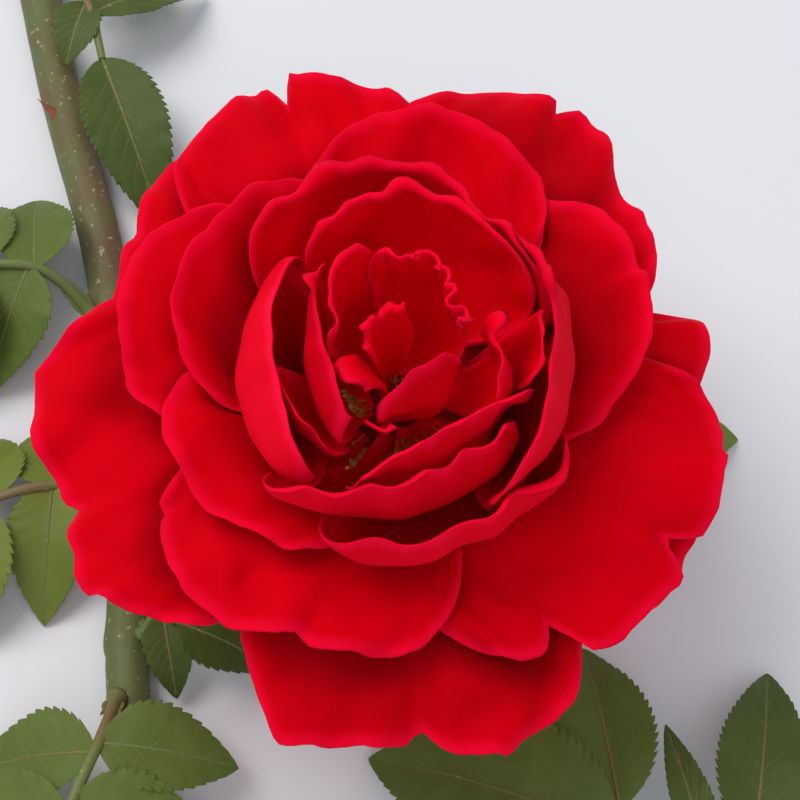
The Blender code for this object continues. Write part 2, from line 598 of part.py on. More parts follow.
def build_hip(bloom, collection):
    """The hip and the dome that seats the petals: a turned profile."""
    dome = [(DOME_RADIUS * math.sin(a), DOME_HEIGHT * math.cos(a))
            for a in np.linspace(0, math.pi / 2, 6)]
    points = dome + [(r * MM, z * MM) for r, z in HIP_PROFILE] + [(0.0, HIP_PROFILE[-1][1] * MM)]
    mesh = bpy.data.meshes.new("hip")
    mesh.from_pydata([(r, 0, z) for r, z in points], [(i, i + 1) for i in range(len(points) - 1)], [])
    made = mesh_object("hip", mesh, bloom, collection, finish("hip green", (0.17, 0.25, 0.07), 0.5))
    turned = made.modifiers.new("turned", "SCREW")
    turned.steps = turned.render_steps = HIP_STEPS
    turned.use_merge_vertices = True
    turned.merge_threshold = 0.00001


def build_sepals(bloom, collection):
    """Narrow pointed blades round the top of the hip, bent down away from the petals."""
    green = finish("hip green", (0.17, 0.25, 0.07), 0.5)
    foot = HIP_PROFILE[0][0] * MM + 2 * SEAT_GAP
    for number in range(SEPAL_COUNT):
        turn = 2 * math.pi * (number + 0.5) / SEPAL_COUNT

        def points_at(across, along, turn=turn):
            half = SEPAL_HALF_WIDTH * ((1 - along).clip(0)**0.7 + 0.05) * across
            radius = foot + SEPAL_LENGTH * along
            height = HIP_PROFILE[0][1] * MM - SEPAL_SLOPE * along - SEPAL_DROOP * along**2
            return np.stack([radius * math.cos(turn) - half * math.sin(turn),
                             radius * math.sin(turn) + half * math.cos(turn), height], -1)

        grid_object(f"sepal_{number + 1}", points_at, 2, 5, SEPAL_THICK, bloom, collection, green)


def build_stamens(bloom, collection):
    """Filaments that lean out of a short column on the dome, each with its anther."""
    yellow = finish("stamen yellow", (0.45, 0.3, 0.06), 0.7)
    foot = DOME_HEIGHT + SEAT_GAP
    column = [(0, 0, foot + height * MM) for height in STYLE_HEIGHTS]
    body = tube("stamens", column, [radius * MM for radius in STYLE_RADII], 1, bloom, collection, yellow)
    pieces = []
    for number, (azimuth, radius, height) in enumerate(STAMENS):
        turn = math.radians(azimuth)
        out = np.array([math.cos(turn), math.sin(turn), 0.0])
        root = np.array([0, 0, foot + FILAMENT_ROOT])
        tip = out * radius * MM + np.array([0, 0, height * MM])
        middle = (root + tip) / 2 - np.array([0, 0, FILAMENT_SAG])
        thread = even_curve(np.array([root, middle, tip]), np.linspace(0, 1, 4))
        radii = [FILAMENT_RADIUS] * len(thread)
        pieces.append(tube(f"filament {number}", thread, radii, 0, bloom, collection, yellow))
        anther = bmesh.new()
        bmesh.ops.create_uvsphere(anther, u_segments=5, v_segments=3, radius=ANTHER_RADIUS)
        anther.transform(Matrix.Translation(tip))
        mesh = bpy.data.meshes.new(f"anther {number}")
        anther.to_mesh(mesh)
        anther.free()
        pieces.append(mesh_object(mesh.name, mesh, bloom, collection, yellow))
    fused(body, pieces)


def main():
    for thing in list(bpy.data.objects):
        bpy.data.objects.remove(thing)
    spray = bpy.data.collections.new("rose_spray")
    bpy.context.scene.collection.children.link(spray)
    frame = bpy.data.objects.new("spray_frame", None)
    spray.objects.link(frame)
    frame.location = SPRAY_AT
    bloom = bpy.data.objects.new("bloom_frame", None)
    spray.objects.link(bloom)
    bloom.parent = frame
    bloom.location = (0, 0, BLOOM_HEIGHT)
    bloom.rotation_euler = (BLOOM_LEAN, 0, 0)
    settle(PETALS)
    for facts in PETALS:
        build_petal(facts, bloom, spray)
    build_hip(bloom, spray)
    build_sepals(bloom, spray)
    build_stamens(bloom, spray)
    cane = build_cane(frame, spray)
    shoot = build_shoot(frame, spray, cane)
    for facts in LEAVES:
        build_leaf(facts, frame, spray, {"cane": cane, "shoot": shoot})


main()
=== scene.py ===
"""The looks of a cut rose spray: velvety petals, toothed leaves, a prickly cane.

Metres, +Z up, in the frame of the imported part. Each piece is a surface worked out with numpy on a grid
of two parameters. The petals and leaves follow the same rules as the solids that they replace.
"""

import math

import bpy
import numpy as np
from mathutils import Matrix, Vector


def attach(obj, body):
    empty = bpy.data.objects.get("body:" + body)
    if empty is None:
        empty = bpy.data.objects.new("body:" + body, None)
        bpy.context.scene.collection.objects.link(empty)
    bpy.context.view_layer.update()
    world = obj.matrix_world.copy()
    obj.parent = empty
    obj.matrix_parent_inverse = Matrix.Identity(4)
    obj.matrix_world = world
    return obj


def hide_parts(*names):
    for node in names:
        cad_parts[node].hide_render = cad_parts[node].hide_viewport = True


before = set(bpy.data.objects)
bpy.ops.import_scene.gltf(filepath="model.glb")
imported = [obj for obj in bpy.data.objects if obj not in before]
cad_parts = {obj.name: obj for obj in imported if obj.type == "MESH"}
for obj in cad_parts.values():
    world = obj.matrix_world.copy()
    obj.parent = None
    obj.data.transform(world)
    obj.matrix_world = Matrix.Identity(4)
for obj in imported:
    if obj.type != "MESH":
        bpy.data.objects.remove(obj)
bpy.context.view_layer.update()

MM = 0.001

# ---------------------------------------------------------------- sizes, as in the solids

SPRAY_AT = np.array((0.0187, -0.0042, 0.0))  # the ground under the bloom
BLOOM_HEIGHT = 52 * MM
BLOOM_AT = SPRAY_AT + np.array((0, 0, BLOOM_HEIGHT))
BLOOM_LEAN = math.radians(10)

DOME_RADIUS, DOME_HEIGHT = 7.4 * MM, 7.0 * MM  # the hip's top, where the petals sit
CLAW_LIFT = 0.35 * MM  # between it and the foot of a petal's middle surface
PETAL_THICK, PETAL_GAP = 0.5 * MM, 0.5 * MM  # of the solids, which set how the petals are stacked
CLAW_SHARE, CLAW_SAVING = 0.55, 0.35 * MM  # at its foot: a petal's share of its angle, and less pitch
FULL_ANGLE_AT, FULL_GAP_AT = 0.42, 0.3  # the shares of the profile at which both are full
EDGE_MARGIN, EDGE_SLOPE = 1.5 * MM, 0.35  # how a petal's lift fades outside the one beneath it
BLEND = 0.3 * MM  # the rounding where a petal starts to lie on another
PROFILE_LENGTH = 52 * MM

HIP_PROFILE = ((7.1, -1.2), (6.4, -3.2), (5.0, -6.0), (3.6, -9.0), (2.7, -12.0))
SEPAL_COUNT, SEPAL_LENGTH, SEPAL_HALF_WIDTH = 5, 17 * MM, 3.1 * MM
SEPAL_SLOPE, SEPAL_DROOP = 2 * MM, 8 * MM
SEAT_GAP = 0.3 * MM

CANE_PATH = ((-73, 136), (-64, 98), (-52, 56), (-45, 12), (-42, -30), (-30, -64), (-2, -84), (34, -91))
CANE_RADII = (4.0 * MM, 3.1 * MM)
CANE_SIDES = 10
CANE_SKIN, SHOOT_SKIN = (400, 40), (200, 32)  # rows and sides of their bark
SHOOT_RADII = (2.6 * MM, 2.2 * MM)
SHOOT_FOOT = 0.46
SHOOT_PATH = ((-30, -4, 8), (-15, -1, 18), (-4, 3, 28))
PRICKLE_LENGTH = 5.0 * MM

PETIOLE_RADIUS, RACHIS_RADIUS = 1.1 * MM, 0.7 * MM
LEAF_ARCH, LEAF_FOLD, LEAF_TIP, FIRST_LEAFLET = 0.10, 0.22, 0.2 * MM, 0.25

FIRST_SEAT_ANGLE, SEAT_SWEEP = math.radians(5), math.radians(72)
PROFILES = np.array((
    ((21.0, 1.8), (40.0, 3.5), (57.0, -5.0)),
    ((21.0, 4.4), (38.0, 6.5), (54.0, 4.0)),
    ((21.0, 6.6), (35.0, 10.0), (45.0, 18.0)),
    ((19.5, 8.6), (33.0, 13.0), (34.0, 28.0)),
    ((16.5, 10.4), (29.5, 17.0), (20.0, 33.0)),
    ((11.0, 12.0), (18.5, 20.0), (11.5, 34.0)),
    ((4.2, 13.0), (7.0, 21.0), (4.5, 34.0)),
)) * MM

# ---------------------------------------------------------------- finer sizes, for the looks

ACROSS, ALONG = 89, 53  # the grid of each petal
LIP_ROWS = 6  # rows more, for the rolled rim
SIDE_CROWDING = 0.9  # how much the columns crowd towards a petal's sides, from 0 to 1
FACE_CELLS, EVEN_PASSES = 6, 8  # how a petal is lifted clear of the ones outside it, in cells and passes
PETAL_HALF_THICK = 0.14 * MM
EDGE_CELLS, EDGE_OUTSIDE = 3, 0.15  # how far in a blade is thinned, and its edge's fact "outside"
PAINTED_SHADE_PASSES = 3  # how often a petal's painted shade is evened out
CRIMP, CRIMP_LENGTH = 0.5 * MM, 10 * MM  # the height and the length of the waves near a petal's rim
BILLOW, BILLOW_LENGTHS = 0.5 * MM, (8 * MM, 28 * MM)  # and of the low waves over its face
WAVES_SEED = 400  # and a petal's azimuth more: the seed of its waves
REFLEX, REFLEX_WIDTH = 1.0 * MM, 7 * MM  # how far its rim bends back, and over what width
LIP_CLEAR = 0.35 * MM  # what a rolled rim leaves free to the petal outside it
LIP_WAVE, LEAST_LIP = 15 * MM, 0.25 * MM  # the length of a rolled rim's waves, and its least width
KEEP_CLEAR = 0.5 * MM  # between the middles of two petals
MOST_ROOM = 9 * MM  # how far the room beside a petal is counted
SHADE_REACH = 9 * MM  # how far from the petals inside it a petal's skin is deeper, as painted shade


def petal(name, azimuth, half, rim, height, **more):
    """One petal, by the same facts as its solid: see settle. The solid is too coarse for the others:

    lip: (width in mm, turn in degrees) of its rolled rim, and flaps: where that is more, as (place
    across, width across, more mm, more degrees).
    crimp, billow, reflex: the heights of its rim's waves, of its face's low waves and of its rim's
    bending back, as shares of the usual ones.
    nicks: small bites out of the rim, or where the depth is negative points of it, as (place across,
    depth, width, power of the bell's edge).
    creases: grooves that run to the rim, as (place across, start along, width in mm, depth in mm).
    dents: hollows, or where the depth is negative bosses, as (place across, place along, width in mm,
    length in mm, depth in mm).
    shade: painted shade, how much deeper its skin is all over, as a share of the way from the body to
    the deep colour, or where it is negative painted light: how much less deep it is where other petals
    cover it.
    """
    stations = rim if isinstance(rim, tuple) else (rim,) * 7
    facts = dict(name=name, azimuth=azimuth, half=half, rim=stations, height=height, lean=0.0,
                 cup=0.0, incurve=0.0, square=3.5, side=0.5, notches=(), folds=(), ruffle=(0, 0.0),
                 lip=(1.0, 40), flaps=(), crimp=1.0, billow=1.0, reflex=1.0, nicks=(), creases=(),
                 dents=(), shade=0.0)
    facts.update(more)
    return facts


# The usual lips of each kind of petal: width in mm, turn in degrees.
GUARD, OUTER, CUP, INNER, HEART = (0.7, 30), (0.8, 45), (1.5, 110), (1.6, 120), (1.0, 100)

# From the outermost petal to the innermost. A petal's shade is painted shade on its skin, or where
# negative painted light.
PETALS = (
    petal("guard_petal_right", -8, 33, (46, 48, 46, 45, 44, 48, 46), 0, square=8, side=0.6,
          billow=3, crimp=1.5, lip=GUARD, reflex=1.5,
          nicks=((-0.62, 0.025, 0.1, 2), (0.78, -0.025, 0.05, 2))),
    petal("guard_petal_bottom", 272, 41, (37, 45, 50, 49, 51, 50, 42), -1, shade=0.3, square=8,
          side=0.6, notches=((0.07, 0.05, 0.05),), folds=((0.1, -0.02, 0.2),),
          billow=3, crimp=1.5, lip=GUARD,
          nicks=((-0.5, -0.06, 0.09, 1.6), (-0.2, 0.02, 0.15, 2), (0.045, 0.025, 0.025, 1),
                 (0.38, -0.03, 0.035, 1), (0.62, 0.01, 0.06, 2)),
          creases=((0.05, 0.7, 1.6, 1.6), (0.34, 0.72, 1.8, 1.2), (-0.35, 0.55, 5, -1.0))),
    petal("guard_petal_upper_left", 143, 34, (50, 53, 53, 48.5, 45, 42, 37), 1, square=6,
          billow=2.5, crimp=1.5, lip=GUARD, nicks=((0.05, 0.012, 0.04, 1.5),)),
    petal("guard_petal_left", 195, 43, (45, 51, 53, 50, 51.5, 45, 38), 0, shade=0.12, square=8,
          side=0.55, notches=((0.09, 0.04, 0.05),), folds=((0.12, -0.02, 0.2),),
          billow=3, crimp=1.5, lip=GUARD,
          nicks=((-0.68, 0.03, 0.1, 2), (-0.5, -0.025, 0.05, 1.2), (0.065, 0.035, 0.02, 1),
                 (0.22, 0.025, 0.07, 2), (0.39, -0.025, 0.02, 1), (0.45, 0.015, 0.035, 1.5),
                 (0.86, -0.06, 0.1, 2)),
          creases=((0.07, 0.6, 2.0, 1.6), (-0.52, 0.7, 3, 0.8), (0.4, 0.75, 2, 0.9))),
    petal("guard_petal_upper_right", 57, 38, (41, 46, 48, 57, 55, 52, 49), 2, shade=0.4, square=8,
          side=0.6, notches=((0.13, 0.04, 0.03),), folds=((0.2, 0.03, 0.12),),
          billow=3, crimp=1.5, lip=GUARD,
          nicks=((0.18, -0.025, 0.035, 1.2), (0.38, -0.025, 0.2, 2), (0.07, -0.02, 0.05, 2),
                 (-0.42, -0.03, 0.12, 2)),
          creases=((0.13, 0.7, 1.6, 1.6), (-0.25, 0.7, 3.5, 0.8))),
    petal("outer_petal_top", 110, 30, (46, 49.5, 52.7, 54.5, 53, 51, 45), 5, shade=-0.1, square=7,
          side=0.6, notches=((-0.03, 0.08, 0.035),), billow=3, crimp=1.5, lip=GUARD,
          nicks=((0.26, -0.035, 0.14, 2), (0.05, -0.02, 0.04, 2), (-0.1, -0.045, 0.03, 1.2),
                 (-0.22, -0.015, 0.08, 2)),
          creases=((-0.03, 0.72, 1.5, 1.4), (-0.5, 0.7, 3, 0.7))),
    petal("outer_petal_lower_right", -36, 49, (35, 40, 45.5, 47.5, 48, 47, 42), 4, shade=-0.35, square=7,
          side=0.55, notches=((0.16, 0.12, 0.05), (-0.43, 0.14, 0.05)), ruffle=(4, 0.012),
          billow=3.5, crimp=2, lip=OUTER,
          nicks=((0.56, 0.02, 0.018, 1.2), (-0.8, 0.02, 0.1, 2), (-0.12, 0.012, 0.03, 1.5),
                 (-0.38, -0.045, 0.035, 2), (0.06, -0.015, 0.06, 2)),
          creases=((0.17, 0.5, 2.0, 1.8), (-0.43, 0.6, 2.0, 1.5), (0.56, 0.75, 2.5, 0.8),
                   (-0.15, 0.5, 5, -0.8))),
    petal("outer_petal_lower_left", 244, 50, (33, 38, 41, 39.5, 38.5, 35, 29), 7, shade=-0.2, square=7,
          folds=((0.06, 0.05, 0.12),), ruffle=(3, 0.015), billow=3, crimp=2, lip=OUTER,
          nicks=((-0.72, 0.05, 0.022, 1.2), (0.02, -0.02, 0.04, 1.5), (0.12, 0.03, 0.04, 1.5)),
          creases=((-0.72, 0.7, 1.8, 1.0), (0.14, 0.7, 2.0, 1.2)),
          dents=((-0.22, 0.78, 1.6, 2.4, 1.2), (-0.06, 0.88, 1.4, 2.0, 1.2),
                 (0.02, 0.9, 2.6, 3.0, -1.4))),
    petal("outer_petal_left", 158, 38, (33, 37.5, 41, 41.6, 38.5, 35, 31), 12, square=5,
          billow=2.5, crimp=2, lip=OUTER, nicks=((-0.3, -0.012, 0.05, 1.5),)),
    petal("outer_petal_right", 22, 45, (24, 29, 34.5, 38.8, 40, 36, 30), 12.5, shade=0.5, square=5,
          folds=((0.05, 0.03, 0.1),), billow=2.5, crimp=2, lip=OUTER,
          nicks=((-0.42, 0.04, 0.15, 2), (-0.64, 0.06, 0.15, 2), (0.12, 0.05, 0.03, 1.2)),
          creases=((0.14, 0.6, 1.8, 1.0),)),
    petal("outer_petal_upper", 81, 41, (29, 35.5, 39.5, 41.4, 39.6, 35, 29), 15, square=5,
          billow=2.5, crimp=2, lip=OUTER, nicks=((0.02, -0.015, 0.035, 1.2),),
          dents=((0.03, 0.9, 1.6, 2.2, 0.8),)),
    petal("cup_petal_lower_left", 211, 46, (25, 31, 33, 31, 28.5, 25.5, 23), 12, shade=-0.05, square=5,
          ruffle=(3, 0.01), billow=2.5, crimp=2, lip=OUTER),
    petal("cup_petal_upper_left", 144, 48, (27, 30.5, 33.5, 33.5, 31, 27, 23), 18, shade=0.3,
          square=5, billow=2, crimp=2, lip=OUTER),
    petal("cup_petal_bottom", 292, 47, 25, 20, incurve=0.36, cup=-0.05, square=6, side=0.6,
          ruffle=(4, 0.012), lip=CUP, nicks=((-0.1, 0.02, 0.1, 2), (0.2, -0.03, 0.1, 2)),
          flaps=((-0.45, 0.15, -0.5, 0), (0.5, 0.2, 2.2, 20))),
    petal("cup_petal_right", -3, 54, 21, 26, incurve=0.2, cup=-0.06, square=5, side=0.8, lip=CUP,
          nicks=((0.45, -0.07, 0.06, 1.2),),
          flaps=((0.45, 0.1, 2.2, 10), (0.7, 0.2, 1.0, 0))),
    petal("cup_petal_top", 82, 64, 26, 24, shade=-0.6, incurve=0.02, square=5, side=0.6,
          ruffle=(4, 0.008), billow=2, lip=CUP, nicks=((0.25, -0.02, 0.04, 1.2),),
          flaps=((0.46, 0.12, 3.2, 30), (0.1, 0.25, 1.2, 10))),
    petal("cup_petal_front", 277, 54, 18, 24, lean=0.06, incurve=0.2, cup=-0.07, square=6, side=0.7,
          ruffle=(5, 0.008), lip=CUP,
          flaps=((-0.82, 0.1, 1.3, 10), (-0.55, 0.07, 0.9, 10), (-0.1, 0.18, 0.8, 10))),
    petal("cup_petal_left", 184, 52, 16.2, 26, incurve=0.25, cup=-0.07, square=7, side=0.75,
          lip=(0.8, 60)),
    petal("inner_petal_top", 78, 57, 22.3, 26, shade=-0.1, square=4, ruffle=(5, 0.008),
          billow=2.5, lip=INNER, flaps=((-0.65, 0.25, 2.0, 20), (0.1, 0.25, 1.0, 10))),
    petal("inner_petal_front", 299, 48, 13.4, 26, incurve=0.18, cup=-0.11, square=7, side=0.7,
          lip=INNER),
    petal("inner_petal_pocket", 3, 18, 19.5, 26.5, shade=0.9, lip=(1.0, 100)),
    petal("inner_petal_left_out", 210, 27, 15.5, 24, incurve=0.06, lip=(1.0, 60)),
    petal("inner_petal_left", 184, 54, 8.8, 28, lean=0.03, incurve=0.12, cup=-0.08, square=9, side=0.92,
          lip=(0.9, 80), flaps=((-0.8, 0.1, 3.2, 50),)),
    petal("inner_petal_right", -8, 23, 13.8, 26.5, lean=0.03, incurve=0.1, square=6, side=0.8,
          billow=2, lip=(1.0, 80), flaps=((0.75, 0.3, 4.0, 60),)),
    petal("heart_petal_upper_left", 142, 42, 10.8, 29, lean=0.06, square=5, side=0.7, billow=2.5,
          lip=HEART, flaps=((-0.6, 0.3, 1.0, 30),)),
    petal("heart_petal_top", 58, 50, 10.2, 31, lean=-0.04, square=6, ruffle=(7, 0.01), lip=HEART,
          crimp=2.4, billow=1.6, flaps=((-0.9, 0.1, 2.5, 30),)),
    petal("heart_petal_lower_left", 256, 11, 13, 22, lean=0.07, square=6, side=0.8, lip=(2.6, 110)),
    petal("heart_petal_lower_right", -52, 52, 5.0, 27, incurve=0.2, cup=-0.06, square=6, side=0.75,
          billow=2, lip=(0.6, 60)),
    petal("heart_petal_folded", 216, 36, 4.2, 24, square=4, side=0.8, reflex=2, crimp=0.4,
          lip=(6.5, 85)),
    petal("heart_petal_curl", 128, 72, 3.5, 26, lean=0.03, lip=(2.2, 150),
          nicks=((-0.75, -0.12, 0.12, 2), (-0.3, 0.06, 0.12, 2), (0.0, -0.04, 0.1, 2),
                 (0.45, 0.08, 0.12, 2))),
)

# ---------------------------------------------------------------- numbers


def smooth(x):
    """0 below 0, 1 above 1, and an even S between."""
    x = np.clip(x, 0.0, 1.0)
    return x * x * (3 - 2 * x)


def even_curve(values, place):
    """A smooth curve through values at even places from 0 to 1: Catmull-Rom, its ends held."""
    values = np.asarray(values, float)
    place = np.asarray(place, float)
    padded = np.concatenate([values[:1], values, values[-1:]])
    x = np.clip(place, 0, 1) * (len(values) - 1)
    i = np.minimum(x.astype(int), len(values) - 2)
    f = (x - i).reshape(x.shape + (1,) * (values.ndim - 1))
    p0, p1, p2, p3 = padded[i], padded[i + 1], padded[i + 2], padded[i + 3]
    return 0.5 * (2 * p1 + (p2 - p0) * f + (2 * p0 - 5 * p1 + 4 * p2 - p3) * f**2
                  + (3 * p1 - p0 - 3 * p2 + p3) * f**3)


def unit(vectors):
    """The vectors at length 1."""
    return vectors / np.maximum(np.linalg.norm(vectors, axis=-1, keepdims=True), 1e-12)


def waves(x, seed, slowest, count=5):
    """An irregular wave between about -1 and 1: the sum of count sines, each 1.7 times as quick as the
    one before and 0.75 times as high, at phases drawn from the seed."""
    draw = np.random.default_rng(seed)
    total, high, quick = np.zeros_like(np.asarray(x, float)), 1.0, slowest
    for _ in range(count):
        total = total + high * np.sin(2 * math.pi * quick * x + draw.uniform(0, 2 * math.pi))
        high, quick = high * 0.75, quick * 1.7
    return total / 2.2


# ---------------------------------------------------------------- the petals' rule

EVEN_STEPS = np.linspace(-1, 1, ACROSS)
COLUMNS = (1 - SIDE_CROWDING) * EVEN_STEPS + SIDE_CROWDING * np.sin(math.pi / 2 * EVEN_STEPS)


def profile_controls(layer):
    """The four control points of the profile at each layer: a Catmull-Rom blend of the rows, carried
    on straight past the first and the last one. The first point lies on the seat."""
    last = len(PROFILES) - 1
    place = np.asarray(layer, float) * last
    row = np.clip(np.floor(place).astype(int), 0, last - 1)
    f = (place - row)[..., None, None]

    def at(i):
        before = np.minimum(i, 0)[..., None, None] * (PROFILES[1] - PROFILES[0])
        after = np.maximum(i - last, 0)[..., None, None] * (PROFILES[last] - PROFILES[last - 1])
        return PROFILES[np.clip(i, 0, last)] + before + after

    p0, p1, p2, p3 = at(row - 1), at(row), at(row + 1), at(row + 2)
    rest = 0.5 * (2 * p1 + (p2 - p0) * f + (2 * p0 - 5 * p1 + 4 * p2 - p3) * f**2
                  + (3 * p1 - p0 - 3 * p2 + p3) * f**3)
    angle = FIRST_SEAT_ANGLE + SEAT_SWEEP * layer
    seat = np.stack([(DOME_RADIUS + CLAW_LIFT) * np.cos(angle),
                     (DOME_HEIGHT + CLAW_LIFT) * np.sin(angle)], -1)
    return seat, rest[..., 0, :], rest[..., 1, :], rest[..., 2, :]


def profile_point(layer, t):
    """(radius, height) at the share t of the profile's length: a cubic Bezier curve."""
    b0, b1, b2, b3 = profile_controls(layer)
    t = np.asarray(t, float)[..., None]
    return (1 - t)**3 * b0 + 3 * (1 - t)**2 * t * b1 + 3 * (1 - t) * t**2 * b2 + t**3 * b3


def layer_spacing(layer, t):
    """How many metres, square to the profile, one whole layer is worth there."""
    d = 1e-3
    across = (profile_point(layer + d, t) - profile_point(layer - d, t)) / (2 * d)
    along = (profile_point(layer, t + d) - profile_point(layer, t - d)) / (2 * d)
    cross = along[..., 0] * across[..., 1] - along[..., 1] * across[..., 0]
    return cross / np.linalg.norm(along, axis=-1)


def layer_through(radius, height):
    """The layer and the share of its length at which the family passes through a point."""
    layers, shares = np.meshgrid(np.linspace(-0.1, 1.1, 241), np.linspace(0.3, 1.0, 141),
                                 indexing="ij")
    points = profile_point(layers, shares)
    best = np.argmin(np.hypot(points[..., 0] - radius, points[..., 1] - height))
    return layers.flat[best], shares.flat[best]


def reach(facts, u):
    """The share of the profile at which the petal ends, across its width u from -1 to 1: rounded
    sides, seven stations between them, and a bell-shaped bite at each notch and nick."""
    rounding = (1 - np.abs(u)**facts["square"]).clip(0)**0.5
    length = facts["side"] + (1 - facts["side"]) * rounding
    stations = np.array(facts["rim"]) / facts["rim"][3]
    length = length * even_curve(stations, (u + 1) / 2)
    for place, depth, width in facts["notches"]:
        length = length * (1 - depth * np.exp(-np.abs((u - place) / width)**1.5))
    for place, depth, width, power in facts["nicks"]:
        length = length * (1 - depth * np.exp(-np.abs((u - place) / width)**power))
    return facts["share"] * length


def half_angle(facts, t):
    """Half the angle that the petal spans at the share t of the profile."""
    spread = CLAW_SHARE + (1 - CLAW_SHARE) * smooth(t / FULL_ANGLE_AT)
    return math.radians(facts["half"]) * spread


def wanted_layer(facts, u, v):
    """The layer that the petal's own shape asks for: its middle one, leaned, cupped, curved in, ruffled
    and folded towards the rim."""
    grown = smooth(v)
    ripples, ripple_height = facts["ruffle"]
    layer = facts["layer"] + grown * (facts["lean"] * u + facts["cup"] * u * u)
    layer = layer + facts["incurve"] * (v * v - 1)
    layer = layer + ripple_height * v**3 * np.sin(math.pi * ripples * u + facts["azimuth"])
    for place, height, width in facts["folds"]:
        layer = layer + height * v * v * np.exp(-((u - place) / width)**2)
    return layer


def layer_on(facts, theta, t):
    """The petal's layer at an azimuth and a share of the profile, and how far outside the petal that
    is, in metres."""
    turn = (theta - math.radians(facts["azimuth"]) + math.pi) % (2 * math.pi) - math.pi
    widest = half_angle(facts, t)
    u = turn / widest
    beside = (np.abs(u) - 1).clip(0) * widest
    u = np.clip(u, -1, 1)
    end = reach(facts, u)
    v = np.clip(t / end, 0, 1)
    x, y = np.interp(u, COLUMNS, np.arange(ACROSS)), v * (ALONG - 1)
    i, j = np.minimum(x.astype(int), ACROSS - 2), np.minimum(y.astype(int), ALONG - 2)
    fx, fy = x - i, y - j
    grid = facts["grid"]
    low = grid[i, j] * (1 - fx) + grid[i + 1, j] * fx
    high = grid[i, j + 1] * (1 - fx) + grid[i + 1, j + 1] * fx
    layer = low * (1 - fy) + high * fy
    radius = profile_point(layer, t)[..., 0]
    return layer, np.hypot(beside * radius, (t - end).clip(0) * PROFILE_LENGTH)


def shifted(grid, across, along):
    """The grid moved by whole cells, its edge values held."""
    i = np.clip(np.arange(grid.shape[0]) + across, 0, grid.shape[0] - 1)
    j = np.clip(np.arange(grid.shape[1]) + along, 0, grid.shape[1] - 1)
    return grid[np.ix_(i, j)]


def evened(grid, passes):
    """The grid with each value's neighbours blended in, both ways, passes times."""
    for _ in range(passes):
        grid = (shifted(grid, 1, 0) + 2 * grid + shifted(grid, -1, 0)) / 4
        grid = (shifted(grid, 0, 1) + 2 * grid + shifted(grid, 0, -1)) / 4
    return grid


def raised(floor):
    """The highest value within about FACE_CELLS cells of each place, evened out."""
    for cells in range(1, FACE_CELLS + 1):
        floor = np.maximum(floor, np.maximum(shifted(floor, 1, 0), shifted(floor, -1, 0)))
        if cells < FACE_CELLS:
            floor = np.maximum(floor, np.maximum(shifted(floor, 0, 1), shifted(floor, 0, -1)))
    return evened(floor, EVEN_PASSES)


def settle(petals):
    """Works out each petal's surface, from the outermost petal to the innermost.

    A petal takes the layer that its shape asks for or, where a petal outside it would be touched, the
    next one that is clear of it. Its point at (u, v) is the profile of that layer at the share
    v * reach(u), turned to the azimuth of u.
    """
    u, v = np.meshgrid(COLUMNS, np.linspace(0, 1, ALONG), indexing="ij")
    for number, facts in enumerate(petals):
        facts["layer"], facts["share"] = layer_through(facts["rim"][3] * MM, facts["height"] * MM)
        t = v * reach(facts, u)
        theta = math.radians(facts["azimuth"]) + half_angle(facts, t) * u
        layer = wanted_layer(facts, u, v)
        grown = smooth(t / FULL_GAP_AT)
        pitch = PETAL_THICK + PETAL_GAP - (1 - grown) * CLAW_SAVING
        floor = np.full(u.shape, -1.0)
        for outer in petals[:number]:
            under, outside = layer_on(outer, theta, t)
            lift = pitch - EDGE_SLOPE * (outside - grown * EDGE_MARGIN).clip(0)
            floor = np.maximum(floor, under + lift / layer_spacing(under, t))
        bare, floor = floor, raised(floor)
        gap = layer - floor
        blend = BLEND / layer_spacing(layer, t)
        facts["grid"] = floor + 0.5 * (gap + np.sqrt(gap * gap + blend * blend))
        room = (facts["grid"] - bare) * layer_spacing(layer, t) + pitch
        facts["below"] = np.minimum(room, MOST_ROOM)
        facts["above"] = np.full(u.shape, MOST_ROOM)
        facts["theta"], facts["t"] = theta, t
        for outer in petals[:number]:
            seen, outside = layer_on(facts, outer["theta"], outer["t"])
            space = (seen - outer["grid"]) * layer_spacing(outer["grid"], outer["t"]) + outside
            outer["above"] = np.minimum(outer["above"], space)
        rz = profile_point(facts["grid"], t)
        facts["surface"] = np.stack([rz[..., 0] * np.cos(theta), rz[..., 0] * np.sin(theta),
                                     rz[..., 1]], -1)


# ---------------------------------------------------------------- meshes


def normals_of(points):
    """The unit normals of a grid of points: the way across times the way along."""
    across, along = np.gradient(points, axis=0), np.gradient(points, axis=1)
    return unit(np.cross(across, along))


def grid_quads(columns, rows, ring=False):
    """The quads of a grid numbered column by column. ring joins the last column to the first."""
    i = np.arange(columns if ring else columns - 1)[:, None]
    j = np.arange(rows - 1)[None, :]
    after = (i + 1) % columns
    return np.stack([i * rows + j, after * rows + j, after * rows + j + 1, i * rows + j + 1],
                    -1).reshape(-1, 4)


